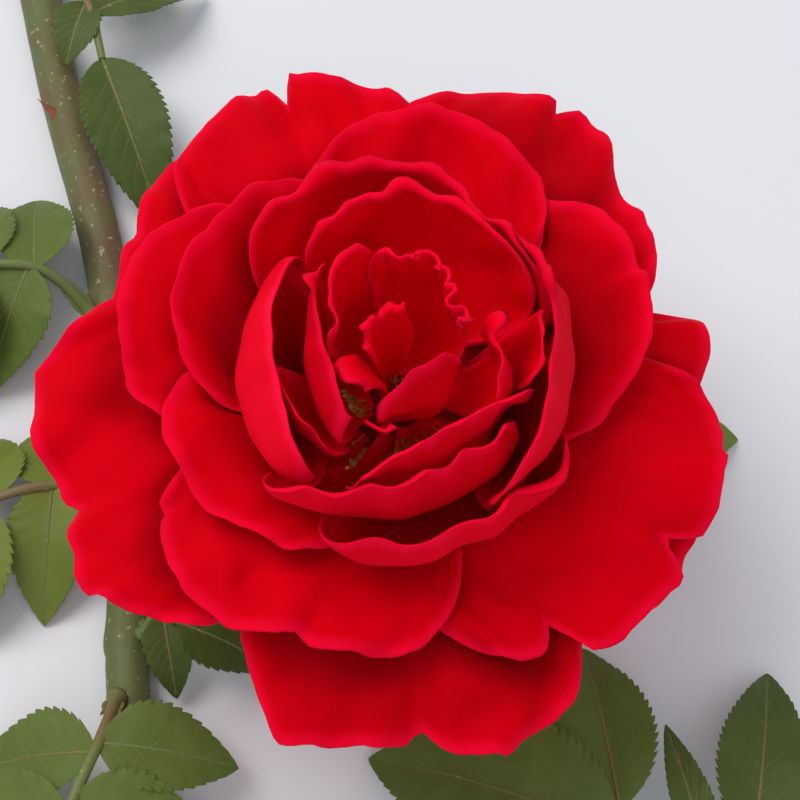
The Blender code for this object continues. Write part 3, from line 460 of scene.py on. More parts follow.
def blade(middle, half_thick, facts):
    """A thin closed blade: the grid of its middle surface, pushed out by half_thick on both sides along
    the normals. It is 0 thick all round its edge, where both sides share their points. Returns
    (points, quads, facts), with outside 1 on the side that the normals point to."""
    columns, rows = middle.shape[:2]
    i, j = np.arange(columns)[:, None], np.arange(rows)[None, :]
    thick = half_thick * (np.minimum(np.minimum(i, columns - 1 - i), EDGE_CELLS) / EDGE_CELLS)**0.5
    thick = thick * (np.minimum(np.minimum(j, rows - 1 - j), EDGE_CELLS) / EDGE_CELLS)**0.5
    push = normals_of(middle) * thick[..., None]
    inner = np.zeros((columns, rows), bool)
    inner[1:-1, 1:-1] = True
    first = np.arange(columns * rows).reshape(columns, rows)
    second = first.copy()
    second[inner] = columns * rows + np.arange(inner.sum())
    quads = grid_quads(columns, rows)
    points = np.concatenate([(middle + push).reshape(-1, 3), (middle - push)[inner]])
    quads = [(quads, 0), (second.reshape(-1)[quads][:, ::-1], 1)]
    told = {name: np.concatenate([value.reshape(columns * rows, -1), value[inner]])
            for name, value in facts.items()}
    told["outside"] = np.concatenate([np.where(inner, 1.0, EDGE_OUTSIDE).reshape(-1, 1),
                                      np.zeros((inner.sum(), 1))])
    return points, quads, told


def outward(part):
    """The part with its faces turned outwards, by the sign of its volume."""
    points, faces, told = part
    volume = 0.0
    for group, _ in faces:
        a, b, c = points[group[:, 0]], points[group[:, 1]], points[group[:, 2]]
        volume += np.einsum("ij,ij->", a, np.cross(b, c))
        if group.shape[1] == 4:
            volume += np.einsum("ij,ij->", a, np.cross(c, points[group[:, 3]]))
    if volume < 0:
        faces = [(group[:, ::-1], paint) for group, paint in faces]
    return points, faces, told


def ringed(points, low, high):
    """A closed part from rings of points, numbered by (place in the ring, ring), with a fan to the pole
    low on the first ring and to the pole high on the last."""
    sides, rows = points.shape[:2]
    first = np.arange(sides) * rows
    after = np.roll(first, -1)
    caps = np.concatenate([np.stack([np.full(sides, sides * rows), after, first], -1),
                           np.stack([np.full(sides, sides * rows + 1), first + rows - 1,
                                     after + rows - 1], -1)])
    points = np.concatenate([points.reshape(-1, 3), [low, high]])
    return outward((points, [(grid_quads(sides, rows, ring=True), 0), (caps, 0)], {}))


def tube(path, radius, sides, around=None):
    """A round stem: rings of the given radius (for each path point) along a path, square to it.
    around(angle, length) may give each point its own radius factor."""
    ways = unit(np.gradient(path, axis=0))
    upward = np.array([0.0, 0.0, 1.0]) if abs(ways[0][2]) < 0.9 else np.array([0.0, 1.0, 0.0])
    side = unit(np.cross(ways[0], upward))
    sides_of = []
    for way in ways:
        side = unit(side - way * np.dot(side, way))
        sides_of.append(side)
    right = np.array(sides_of)
    up = np.cross(ways, right)
    angle = np.linspace(0, 2 * math.pi, sides, endpoint=False)
    length = np.concatenate([[0], np.cumsum(np.linalg.norm(np.diff(path, axis=0), axis=1))])
    size = np.tile(radius, (sides, 1))
    if around is not None:
        size = size * around(angle[:, None], length[None, :])
    ring = (right[None] * np.cos(angle)[:, None, None] + up[None] * np.sin(angle)[:, None, None])
    return ringed(path[None] + ring * size[..., None], path[0], path[-1])


def joined(parts):
    """Several (points, faces, facts) as one."""
    points, faces, told, count = [], [], {}, 0
    for part_points, part_faces, part_told in parts:
        points.append(part_points)
        faces += [(group + count, paint) for group, paint in part_faces]
        count += len(part_points)
        for name, value in part_told.items():
            told.setdefault(name, []).append(value)
    return np.concatenate(points), faces, {name: np.concatenate(told[name]) for name in told}


def placed(name, data):
    """A new object in the scene."""
    obj = bpy.data.objects.new(name, data)
    bpy.context.scene.collection.objects.link(obj)
    return obj


def piece(name, part, materials, replaces=()):
    """A part as an object at the origin that rides on the spray. Each group of its faces has the
    material of its number."""
    points, faces, told = part
    mesh = bpy.data.meshes.new(name)
    mesh.from_pydata(points.tolist(), [], [face for group, _ in faces for face in group.tolist()])
    paints = np.concatenate([np.full(len(group), paint) for group, paint in faces])
    for fact, value in told.items():
        kind = "FLOAT_VECTOR" if value.shape[1] == 3 else "FLOAT"
        made = mesh.attributes.new(fact, kind, "POINT")
        made.data.foreach_set("vector" if value.shape[1] == 3 else "value",
                              value.astype(np.float32).ravel())
    mesh.shade_smooth()
    for material in materials:
        mesh.materials.append(material)
    mesh.polygons.foreach_set("material_index", paints % len(materials))
    obj = placed(name, mesh)
    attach(obj, "root")
    if replaces:
        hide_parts(*replaces)


TURN = np.array(Matrix.Rotation(BLOOM_LEAN, 3, "X"))  # the bloom leans back


def in_bloom(points):
    """From the bloom's own frame to the part's."""
    return points @ TURN.T + BLOOM_AT


# ---------------------------------------------------------------- petals


def low_waves(x, y, seed, shortest, longest):
    """Low waves over a face, about -1 to 1: seven sines with wave lengths between the two, in metres,
    at headings and phases drawn from the seed, the longer ones higher."""
    draw = np.random.default_rng(seed)
    total, weight = 0.0, 0.0
    for length in np.geomspace(longest, shortest, 7):
        heading, phase = draw.uniform(0, math.pi), draw.uniform(0, 2 * math.pi)
        along = (x * math.cos(heading) + y * math.sin(heading)) / length
        total = total + length * np.sin(2 * math.pi * along + phase)
        weight = weight + length**2
    return total / math.sqrt(weight)


def held(rise, above, below):
    """The rise kept between the neighbours: it comes ever closer to half of what the room above, or
    below, is more than the clearance, and never passes it."""
    up = (0.5 * (above - KEEP_CLEAR)).clip(0.05 * MM)
    down = (0.5 * (below - KEEP_CLEAR)).clip(0.05 * MM)
    limit = np.where(rise > 0, up, down)
    return rise / (1 + np.abs(rise) / limit)


def sculpted(facts, width, length):
    """How far each point of a petal rises towards the bloom's inside from the surface that settle gave
    it: low waves over its face, waves that grow as v**4 to the rim, the rim's bending back over its last
    REFLEX_WIDTH, grooves, hollows and bosses. width and length: the petal's half width in each row and
    its length in each column."""
    seed = facts["azimuth"] + WAVES_SEED
    u, v = COLUMNS[:, None], np.linspace(0, 1, ALONG)[None, :]
    x, y = u * width, v * length
    grown = smooth((v - 0.25) / 0.35)
    rise = facts["billow"] * BILLOW * grown * (0.5 + low_waves(x, y, seed + 1, *BILLOW_LENGTHS))
    rise = rise + facts["crimp"] * CRIMP * waves(x / CRIMP_LENGTH, seed, 0.45, 3) * v**4
    rise = rise - facts["reflex"] * REFLEX * ((1 - (length - y) / REFLEX_WIDTH).clip(0))**2
    for place, start, wide, depth in facts["creases"]:
        shape = np.exp(-np.abs((x - place * width) / (wide * MM))**1.4)
        rise = rise - depth * MM * shape * smooth((v - start) / (1 - start))
    for place, along, wide, long, depth in facts["dents"]:
        far = ((x - place * width) / (wide * MM))**2 + ((y - along * length) / (long * MM))**2
        rise = rise - depth * MM * np.exp(-far)
    return rise


def evened_row(values):
    """A row of values with each one's neighbours blended in, four times."""
    for _ in range(4):
        padded = np.concatenate([values[:1], values, values[-1:]])
        values = (padded[:-2] + 2 * values + padded[2:]) / 4
    return values


def rolled(facts):
    """The petal's surface, sculpted, with the rows of its rolled lip added.

    The lip goes on from the rim along an arc: its direction turns from the petal's own way towards its
    outside, by the lip's turn in all, and its width is the lip's, less where a petal outside it is near.
    """
    seed = facts["azimuth"] + WAVES_SEED
    u = COLUMNS
    surface = facts["surface"]
    out = normals_of(surface)
    width = np.linalg.norm(np.diff(surface, axis=0), axis=-1).sum(0)[None, :] / 2
    length = np.linalg.norm(np.diff(surface, axis=1), axis=-1).sum(1)[:, None]
    rise = held(sculpted(facts, width, length), facts["above"], facts["below"])
    surface = surface - out * rise[..., None]
    out = normals_of(surface)
    below = evened_row((facts["below"] + rise)[:, -4:].min(axis=1))
    way = unit(surface[:, -1] - surface[:, -3])
    side = unit(out[:, -1] - way * (out[:, -1] * way).sum(-1, keepdims=True))
    x = u * width[0, -1] / LIP_WAVE
    wide_lip, turn = facts["lip"]
    fade = smooth((1 - np.abs(u)) / 0.2)
    turn = math.radians(turn) * (0.85 + 0.3 * waves(x, seed + 2, 0.8, 3)) * (0.3 + 0.7 * fade)
    wide_lip = wide_lip * (0.7 + 0.5 * waves(x, seed + 3, 1.0, 3))
    for place, wide, more, degrees in facts["flaps"]:
        bell = np.exp(-((u - place) / wide)**2)
        wide_lip, turn = wide_lip + more * bell, turn + math.radians(degrees) * bell
    wide_lip = wide_lip * MM * (0.25 + 0.75 * fade)
    allowed = (below - LIP_CLEAR) / (0.15 + 0.45 * turn.clip(0, 1.6))
    wide_lip = np.minimum(wide_lip, allowed).clip(LEAST_LIP)
    rows = [surface[:, -1]]
    for step in range(LIP_ROWS):
        angle = (turn * ((step + 0.7) / LIP_ROWS)**1.2)[:, None]
        ahead = np.cos(angle) * way + np.sin(angle) * side
        rows.append(rows[-1] + (wide_lip / LIP_ROWS)[:, None] * ahead)
    return np.concatenate([surface, np.stack(rows[1:], 1)], axis=1)


def make_petal(facts, number, material):
    """One petal as a closed blade, with its place (across and along in mm, which petal), how many mm
    from its rim a point is, and its painted shade: how closely the petals inside it cover it."""
    middle = rolled(facts)
    along = np.concatenate([np.linspace(0, 1, ALONG), 1 + np.arange(1, LIP_ROWS + 1) / 50])
    u, v = np.meshgrid(COLUMNS, along, indexing="ij")
    step = np.linalg.norm(np.diff(middle, axis=1), axis=-1)
    to_rim = np.concatenate([np.cumsum(step[:, ::-1], axis=1)[:, ::-1], np.zeros((ACROSS, 1))], 1)
    widest = np.linalg.norm(np.diff(middle, axis=0), axis=-1).sum(0)[None, :] / 2
    to_side = (1 - np.abs(u)) * widest
    near = np.minimum(to_rim, to_side) / MM
    width = u * widest / MM
    # painted shade: deeper the closer the petals inside it are, made more or less by the petal's shade
    painted_occlusion = (1 - smooth(facts["above"] / SHADE_REACH) + facts["shade"]).clip(0, 1)
    painted_occlusion = np.concatenate([painted_occlusion, np.repeat(painted_occlusion[:, -1:], LIP_ROWS, axis=1)], axis=1)
    place = np.stack([width, v * facts["share"] * PROFILE_LENGTH / MM, np.full(u.shape, float(number))],
                     -1)
    points, quads, told = blade(middle, PETAL_HALF_THICK, {
        "place": place, "painted_occlusion": evened(painted_occlusion, PAINTED_SHADE_PASSES)[..., None],
        "rim_distance": near[..., None]})
    piece(facts["name"] + "_bloom", (in_bloom(points), quads, told), [material],
          [facts["name"]])


# ---------------------------------------------------------------- the green parts


def leaflet_surface(a, v, base, heading, length, width, tip, lift):
    """A leaflet's middle surface at a across (-1 to 1) and v along (0 to 1). Its half width is half its
    width times sin(pi v^0.8)^0.8, and a little more at its foot. Its height runs straight from the base
    to the tip, plus the arch length * LEAF_ARCH * sin(pi v), the fold LEAF_FOLD * |half width|, and
    lift: the low waves of its sides and the quilting between its veins."""
    ahead = np.array([math.cos(heading), math.sin(heading), 0.0])
    aside = np.array([-math.sin(heading), math.cos(heading), 0.0])
    outline = np.sin(math.pi * v**0.8).clip(0)**0.8 + 0.05 * (1 - v)
    half = 0.5 * width * outline * a
    height = base[2] * (1 - v) + tip * v + LEAF_ARCH * length * np.sin(math.pi * v)
    height = height + LEAF_FOLD * np.abs(half) + lift
    point = base + ahead * (length * v)[..., None] + aside * half[..., None]
    point[..., 2] = height
    return point


VEINS, VEIN_SWEEP = 7, 0.26  # pairs of side veins, and how far forwards each runs to the edge
TOOTH_ROWS = np.array((0.0, 0.5, 0.85, 1.0))
TOOTH_DEPTH, TOOTH_PITCH = 0.09, 1.5 * MM
BLADE_COLUMNS = 21
BLADE_HALF_THICK = 0.11 * MM
QUILT = 0.16 * MM
MIDRIB_RADII, VEIN_RADII = (0.42, 0.13), (0.17, 0.12)  # in mm, at the foot and at the tip
MIDRIB_ROWS, VEIN_ROWS = 24, 9


def quilted(a, v, length, seed):
    """The relief of a leaflet: raised between its veins, which leave the midrib forwards, and low waves
    along its sides that grow with |a|."""
    between = 0.5 - 0.5 * np.cos(2 * math.pi * (VEINS + 1) * (v - VEIN_SWEEP * np.abs(a)**0.9))
    relief = QUILT * between * np.sin(math.pi * np.abs(a).clip(0, 1))**0.7
    side = np.where(a < 0, waves(v, seed, 0.9), waves(v, seed + 7, 0.9))
    return (relief + 0.02 * length * np.abs(a)**2 * side) * np.sin(math.pi * v).clip(0)**0.5


def make_leaflet(base, heading, length, width, tip, seed):
    """A leaflet as a thin blade with a toothed edge, and its midrib and veins as fine tubes."""
    teeth = max(8, round(length / TOOTH_PITCH))
    rows = teeth * len(TOOTH_ROWS)
    v = np.linspace(0, 1, rows + 1)
    a = np.sin(math.pi / 2 * np.linspace(-1, 1, BLADE_COLUMNS))
    a, v = np.meshgrid(a, v, indexing="ij")
    tooth = np.concatenate([np.tile(TOOTH_ROWS, teeth), [0.0]])[None, :] * smooth((1 - v) / 0.12)
    tooth = tooth * smooth(v / 0.15) * np.abs(a)**6
    toothed = a * (1 + TOOTH_DEPTH * (tooth - 0.55 * np.abs(a)**6))
    ahead = (v + 0.35 * tooth / teeth).clip(0, 1)
    shape = (base, heading, length, width, tip)
    middle = leaflet_surface(toothed, ahead, *shape, quilted(a, v, length, seed))
    points, quads, _ = blade(middle[::-1], BLADE_HALF_THICK, {})
    flat = np.zeros(MIDRIB_ROWS)
    spine = leaflet_surface(flat, np.linspace(0.0, 0.97, MIDRIB_ROWS), *shape, flat)
    ribs = [tube(spine, np.linspace(*MIDRIB_RADII, MIDRIB_ROWS) * MM, 6)]
    for number in range(1, VEINS + 1):
        for side in (-1, 1):
            across = np.linspace(0, 0.93, VEIN_ROWS)
            along = number / (VEINS + 1) + VEIN_SWEEP * across**0.9
            keep = along < 0.985
            if keep.sum() > 3:
                across, along = side * across[keep], along[keep]
                path = leaflet_surface(across, along, *shape, quilted(across, along, length, seed))
                ribs.append(tube(path, np.linspace(*VEIN_RADII, len(path)) * MM, 4))
    return (points, quads, {}), ribs


def sprouted(carrier, place, towards, radius):
    """Where a stem of this radius starts, beside its carrier and clear of it by the seat gap."""
    path, radii = carrier
    foot, ahead = even_curve(path, np.array([place, place + 0.01]))
    along = (ahead - foot) / np.linalg.norm(ahead - foot)
    start = foot
    for _ in range(2):
        way = (towards - start) / np.linalg.norm(towards - start)
        lean = np.dot(way, along)
        out = way - along * lean
        out = out / np.linalg.norm(out)
        start = foot + out * (np.interp(place, (0, 1), (radii[0], radii[-1])) + SEAT_GAP
                              + radius * abs(lean))
    return start


def bark(stem_seed, nodes, swell, ridges, ridge_height):
    """The relief of a stem, as a factor on its radius at (angle, length): ridges along it that wander,
    small warts, and a swelling at each node (its place in metres)."""

    def around(angle, length):
        wander = 0.5 * waves(length * 40, stem_seed, 0.5) + 0.3 * waves(length * 40, stem_seed + 1, 1.7)
        relief = ridge_height * np.sin(ridges * angle + 2 * wander)
        relief = relief + 0.5 * ridge_height * np.sin(2 * ridges * angle - 3 * wander + 1)
        relief = relief + 0.02 * waves(length * 25, stem_seed + 2, 0.6) * np.cos(angle + wander)
        for place in nodes:
            relief = relief + swell * np.exp(-((length - place) / (2.6 * MM))**2)
            relief = relief - 0.5 * swell * np.exp(-((length - place - 2.4 * MM) / (0.7 * MM))**2)
        return 1 + relief

    return around


def prickle(path, place, angle, radius):
    """A prickle: oval rings along an axis that leaves the bark and bends back towards the stem's foot,
    long at its base along the stem and flattened sideways. They shrink quickly at first, then evenly."""
    here, ahead = even_curve(path, np.array([place, place + 0.01]))
    along = unit(ahead - here)
    side = np.array([math.cos(math.radians(angle)), 0, math.sin(math.radians(angle))])
    side = unit(side - along * np.dot(side, along))
    wide = np.cross(side, along)
    sides, rows = 14, 12
    s = np.linspace(0, 1, rows)
    axis = here + side * (radius - 0.5 * MM) + np.outer(s, side) * 0.9 * PRICKLE_LENGTH
    axis = axis - np.outer(s**1.6, along) * 0.42 * PRICKLE_LENGTH
    turn = np.linspace(0, 2 * math.pi, sides, endpoint=False)
    long_half = (2.3 * (1 - s)**2.2 + 0.55 * (1 - s) + 0.05) * MM
    wide_half = (0.9 * (1 - s)**2.0 + 0.45 * (1 - s) + 0.05) * MM
    points = (axis[None] + np.cos(turn)[:, None, None] * wide * wide_half[None, :, None]
              + np.sin(turn)[:, None, None] * along * long_half[None, :, None])
    return ringed(points, axis[0], axis[-1] + side * 0.05 * MM)


def cut_end(centre, way, radius):
    """The cut face at a stem's end: rings that come out of the bark and rise 0.12 mm past its end, with
    a hollow 0.22 mm deep over the pith."""
    side = unit(np.cross(way, np.array([0.0, 0.0, 1.0])))
    up = np.cross(way, side)
    share = np.array((1.0, 0.985, 0.93, 0.8, 0.62, 0.5, 0.42, 0.36, 0.28, 0.14))  # of the radius
    height = np.array((-0.35, 0.05, 0.12, 0.12, 0.1, 0.08, 0.02, -0.05, -0.08, -0.1)) * MM
    turn = np.linspace(0, 2 * math.pi, 40, endpoint=False)
    ring = np.cos(turn)[:, None] * side + np.sin(turn)[:, None] * up
    points = centre + ring[:, None] * (share * radius)[None, :, None] + way * height[None, :, None]
    return ringed(points, centre + way * height[0], centre + way * height[-1])


def on_ground(part):
    """From the ground under the bloom to the part's own frame."""
    return part[0] + SPRAY_AT, part[1], part[2]


def finer(path, count):
    """A path through the same points with count points."""
    return even_curve(path, np.linspace(0, 1, count))


def make_stem(name, coarse, radii, grid, relief, prickles, barks):
    """A stem with its bark, of rows and sides as grid says, and its prickles as a second piece. Returns
    the bark's path and radii."""
    rows, sides = grid
    path = finer(coarse, rows)
    size = np.linspace(radii[0], radii[-1], rows)
    points, faces, _ = tube(path, size, sides, relief)
    points[:, 2] = np.maximum(points[:, 2], 0)  # where it lies on the ground
    piece(name + "_bark", (points, faces, {}), [barks[0]], [name])
    parts = [prickle(coarse, place, angle, radii[-1]) for place, angle in prickles]
    piece(name + "_prickles", joined(parts), [barks[1]])
    return path, size


STIPULE_FROM, STIPULE_RUN = 0.02, 0.2  # where along the rachis they start, and how far they go
STIPULE_WIDTH, STIPULE_LIFT, STIPULE_HALF_THICK = 1.25 * MM, 0.3 * MM, 0.12 * MM


def stipules(rachis):
    """The pair of narrow wings along the foot of a petiole: thin strips that end in free tips."""
    ways = unit(np.gradient(rachis, axis=0))
    aside = unit(np.cross(np.array([0.0, 0.0, 1.0]), ways))
    parts = []
    v = np.linspace(0, 1, 25)
    spine = even_curve(rachis, STIPULE_FROM + STIPULE_RUN * v)
    across = even_curve(aside, STIPULE_FROM + STIPULE_RUN * v)
    free = smooth((v - 0.72) / 0.28)
    for side in (-1, 1):
        wide = STIPULE_WIDTH * (0.35 + 0.65 * np.sin(math.pi * v.clip(0, 0.8) / 0.9))
        wide = wide * (1 - smooth((v - 0.8) / 0.2))
        near = spine + across * (side * (0.5 * MM + 0.9 * MM * free))[:, None]
        far = near + across * (side * (wide + 0.05 * MM))[:, None] + np.array([0, 0, STIPULE_LIFT])
        grid = near[None] + (far - near)[None] * np.linspace(0, 1, 7)[:, None, None]
        points, faces, _ = outward(blade(grid, STIPULE_HALF_THICK, {}))
        parts.append((points, faces, {}))
    return parts


def make_leaf(facts, number, carriers, skins, stalk):
    """A compound leaf: the blades of its leaflets, and its petiole, rachis, stipules and veins."""
    way = np.array(facts["path"]) * MM
    start = sprouted(carriers[facts["carrier"]], facts["foot"], way[0], PETIOLE_RADIUS)
    rachis = finer(np.vstack([start, way]), 9)
    foot = start + unit(start - way[0]) * 0.9 * MM
    line = np.vstack([foot, finer(rachis, 60)])
    thin = np.concatenate([[1.5 * PETIOLE_RADIUS], np.linspace(PETIOLE_RADIUS, RACHIS_RADIUS, 60)])
    thin[1:8] += np.linspace(0.5, 0, 7) * PETIOLE_RADIUS
    blades, ribs = [], [tube(line, thin, 12)]
    for one, (place, heading, length, width, tip) in enumerate(facts["leaflets"]):
        base = even_curve(rachis, np.array([FIRST_LEAFLET + (1 - FIRST_LEAFLET) * place]))[0]
        made, veins = make_leaflet(base, math.radians(heading), length * MM, width * MM,
                                   LEAF_TIP + tip * MM, 40 * number + one)
        blades.append(made)
        ribs += veins
    ribs += stipules(rachis)
    piece(facts["name"] + "_blades", on_ground(joined(blades)), skins, [facts["name"]])
    piece(facts["name"] + "_veins", on_ground(joined(ribs)), [stalk])


def turned(profile, sides, around):
    """A surface turned about the bloom's axis: profile rows of (radius, height), from the top pole to
    the bottom one, times the factor around(angle, row)."""
    turn = np.linspace(0, 2 * math.pi, sides, endpoint=False)
    radius = profile[None, :, 0] * around(turn[:, None], np.linspace(0, 1, len(profile))[None, :])
    points = np.stack([radius * np.cos(turn)[:, None], radius * np.sin(turn)[:, None],
                       np.broadcast_to(profile[None, :, 1], radius.shape)], -1)
    return ringed(points, (0, 0, profile[0, 1]), (0, 0, profile[-1, 1]))


def make_hip(materials):
    """The hip under the petals: its solid's profile, smooth, with faint ribs, and dark on top, where
    the petals sit."""
    turn = np.linspace(0.03, math.pi / 2, 24)
    dome = np.stack([DOME_RADIUS * np.sin(turn), DOME_HEIGHT * np.cos(turn)], -1)
    below = even_curve(np.array([(7.4, 0.0), *HIP_PROFILE]) * MM, np.linspace(0, 1, 40))[1:]
    profile = np.concatenate([dome, below, [(0.3 * MM, HIP_PROFILE[-1][1] * MM)]])
    made = turned(profile, 64, lambda angle, row: 1 + 0.008 * np.sin(10 * angle) * np.sin(math.pi * row))
    points, ((quads, _), (caps, _)), told = made
    seats = points[quads[:, 0], 2] > 0
    faces = [(quads[~seats], 0), (quads[seats], 1), (caps, 1)]
    piece("hip_skin", (in_bloom(points), faces, told), materials, ["hip"])


def make_sepal(number, materials):
    """A sepal: its half width falls as (1 - v)^0.7 from about SEPAL_HALF_WIDTH, with narrow side lobes
    and a ridge along it, and it falls from the hip as its solid does."""
    columns = np.sin(math.pi / 2 * np.linspace(-1, 1, 17))
    a, v = np.meshgrid(columns, np.linspace(0, 1, 73), indexing="ij")
    turn = 2 * math.pi * (number + 0.5) / SEPAL_COUNT
    lobes = sum(high * np.exp(-((v - place) / 0.02)**2)
                for place, high in ((0.3, 0.28), (0.45, 0.3), (0.6, 0.2)))
    half = SEPAL_HALF_WIDTH * ((1 - v).clip(0)**0.7 * (0.92 + lobes) + 0.03) * a
    foot = HIP_PROFILE[0][0] * MM + 2 * SEAT_GAP
    radius = foot - 1.0 * MM + (SEPAL_LENGTH + 1.0 * MM) * v
    height = HIP_PROFILE[0][1] * MM - SEPAL_SLOPE * v - SEPAL_DROOP * v**2
    height = height - 0.12 * np.abs(half) + 0.25 * MM * waves(v, number + 60, 0.8) * v
    half = half + 0.8 * MM * np.sin(3 * v + number) * v**2
    middle = np.stack([radius * math.cos(turn) - half * math.sin(turn),
                       radius * math.sin(turn) + half * math.cos(turn), height], -1)
    points, faces, _ = outward(blade(middle, 0.2 * MM, {}))
    piece(f"sepal_{number + 1}_blade", (in_bloom(points), faces, {}), materials,
          [f"sepal_{number + 1}"])


def gap_at(theta, t):
    """The layer in the middle of the widest gap between the petals at azimuths and shares of the
    profile, and half that gap in metres."""
    layers = []
    for facts in PETALS:
        layer, outside = layer_on(facts, theta, t)
        layers.append(np.where(outside < 0.6 * MM, layer, -1.0))
    layers = np.sort(np.array(layers), axis=0)
    wide = np.where(layers[:-1] > 0.5, np.diff(layers, axis=0), 0)
    best = wide.argmax(0)
    low = np.take_along_axis(layers, best[None], 0)[0]
    gap = np.take_along_axis(wide, best[None], 0)[0]
    middle = low + gap / 2
    return middle, gap / 2 * layer_spacing(middle, t)


STYLE_COUNT, STYLE_RADIUS = 12, 0.18 * MM
STYLE_HEIGHTS, STYLE_SPREAD = (4.0, 5.6), (0.1, 0.75)  # in mm, above the dome and off the bloom's axis
STIGMA_HALVES, ANTHER_HALVES = (0.32 * MM, 0.3 * MM), (0.62 * MM, 0.36 * MM)  # length and width
STAMEN_TRIES = 110  # places tried; a stamen stands where there is room
STAMEN_SECTORS = ((205, 246), (262, 318))  # azimuths in degrees
STAMEN_ROOM = 0.75 * MM  # half the gap that a filament takes
STAMEN_ROWS = 9
FILAMENT_RADII = (0.17, 0.11)  # in mm, at the foot and at the anther


def make_stamens(materials):
    """The styles on the dome, and stamens where the petals leave room: each filament rises along the
    petals' own profile in the middle of a gap, to an anther of two lobes."""
    draw = np.random.default_rng(12)
    foot = DOME_HEIGHT - 0.3 * MM
    filaments, anthers = [], []
    for _ in range(STYLE_COUNT):
        turn, out = draw.uniform(0, 2 * math.pi), draw.uniform(*STYLE_SPREAD) * MM
        way = np.array([math.cos(turn), math.sin(turn), 0])
        top = foot + draw.uniform(*STYLE_HEIGHTS) * MM
        line = np.array([way * out + [0, 0, foot], way * out * 0.9 + [0, 0, (foot + top) / 2],
                         way * out * 1.5 + [0, 0, top]])
        filaments.append(tube(finer(line, STAMEN_ROWS), np.full(STAMEN_ROWS, STYLE_RADIUS), 6))
        anthers.append(knob(line[-1], way * 0.1 + [0, 0, 1], *STIGMA_HALVES))
    for number in range(STAMEN_TRIES):
        low, high = STAMEN_SECTORS[number % len(STAMEN_SECTORS)]
        theta = math.radians(draw.uniform(low, high))
        end = draw.uniform(0.3, 0.5)
        share = np.linspace(end - 0.16, end, STAMEN_ROWS)
        layer, room = gap_at(np.full(STAMEN_ROWS, theta), share)
        if room.min() < STAMEN_ROOM or np.ptp(layer) > 0.05 or layer.max() > 1.0:
            continue
        rz = profile_point(np.linspace(layer[0], layer[-1], STAMEN_ROWS), share)
        sway = theta + draw.normal(0, 0.01) * np.linspace(0, 1, STAMEN_ROWS)**2
        line = np.stack([rz[:, 0] * np.cos(sway), rz[:, 0] * np.sin(sway), rz[:, 1]], -1)
        filaments.append(tube(line, np.linspace(*FILAMENT_RADII, STAMEN_ROWS) * MM, 6))
        anthers.append(knob(line[-1], draw.normal(0, 1, 3), *ANTHER_HALVES))
    for name, parts, material in (("stamen_filaments", filaments, materials[0]),
                                  ("stamen_anthers", anthers, materials[1])):
        points, faces, _ = joined(parts)
        piece(name, (in_bloom(points), faces, {}), [material], ["stamens"])


def knob(centre, way, half_long, half_wide):
    """A bean of two lobes: an ellipsoid pinched along its long way."""
    way = unit(np.asarray(way, float))
    side = unit(np.cross(way, np.array([0.3, 0.5, 0.81])))
    up = np.cross(way, side)
    latitude = np.linspace(0.12, math.pi - 0.12, 9)
    turn = np.linspace(0, 2 * math.pi, 12, endpoint=False)
    pinch = 1 - 0.3 * np.cos(turn)[:, None]**2 * np.sin(latitude)[None, :]
    wide = half_wide * np.sin(latitude)[None, :] * pinch
    points = (centre + way * (half_long * np.cos(latitude))[None, :, None]
              + side * (np.cos(turn)[:, None] * wide)[..., None]
              + up * (np.sin(turn)[:, None] * wide)[..., None])
    return ringed(points, centre + way * half_long, centre - way * half_long)


# ---------------------------------------------------------------- the leaves' places, as in the solids

def leaf(name, foot, path, leaflets, carrier="cane"):
    """One compound leaf: where along its carrier it grows (0 to 1), its rachis in mm, and its leaflets
    as (place along the rachis, heading in degrees, length, width, height of the tip in mm)."""
    return dict(name=name, foot=foot, path=path, leaflets=leaflets, carrier=carrier)


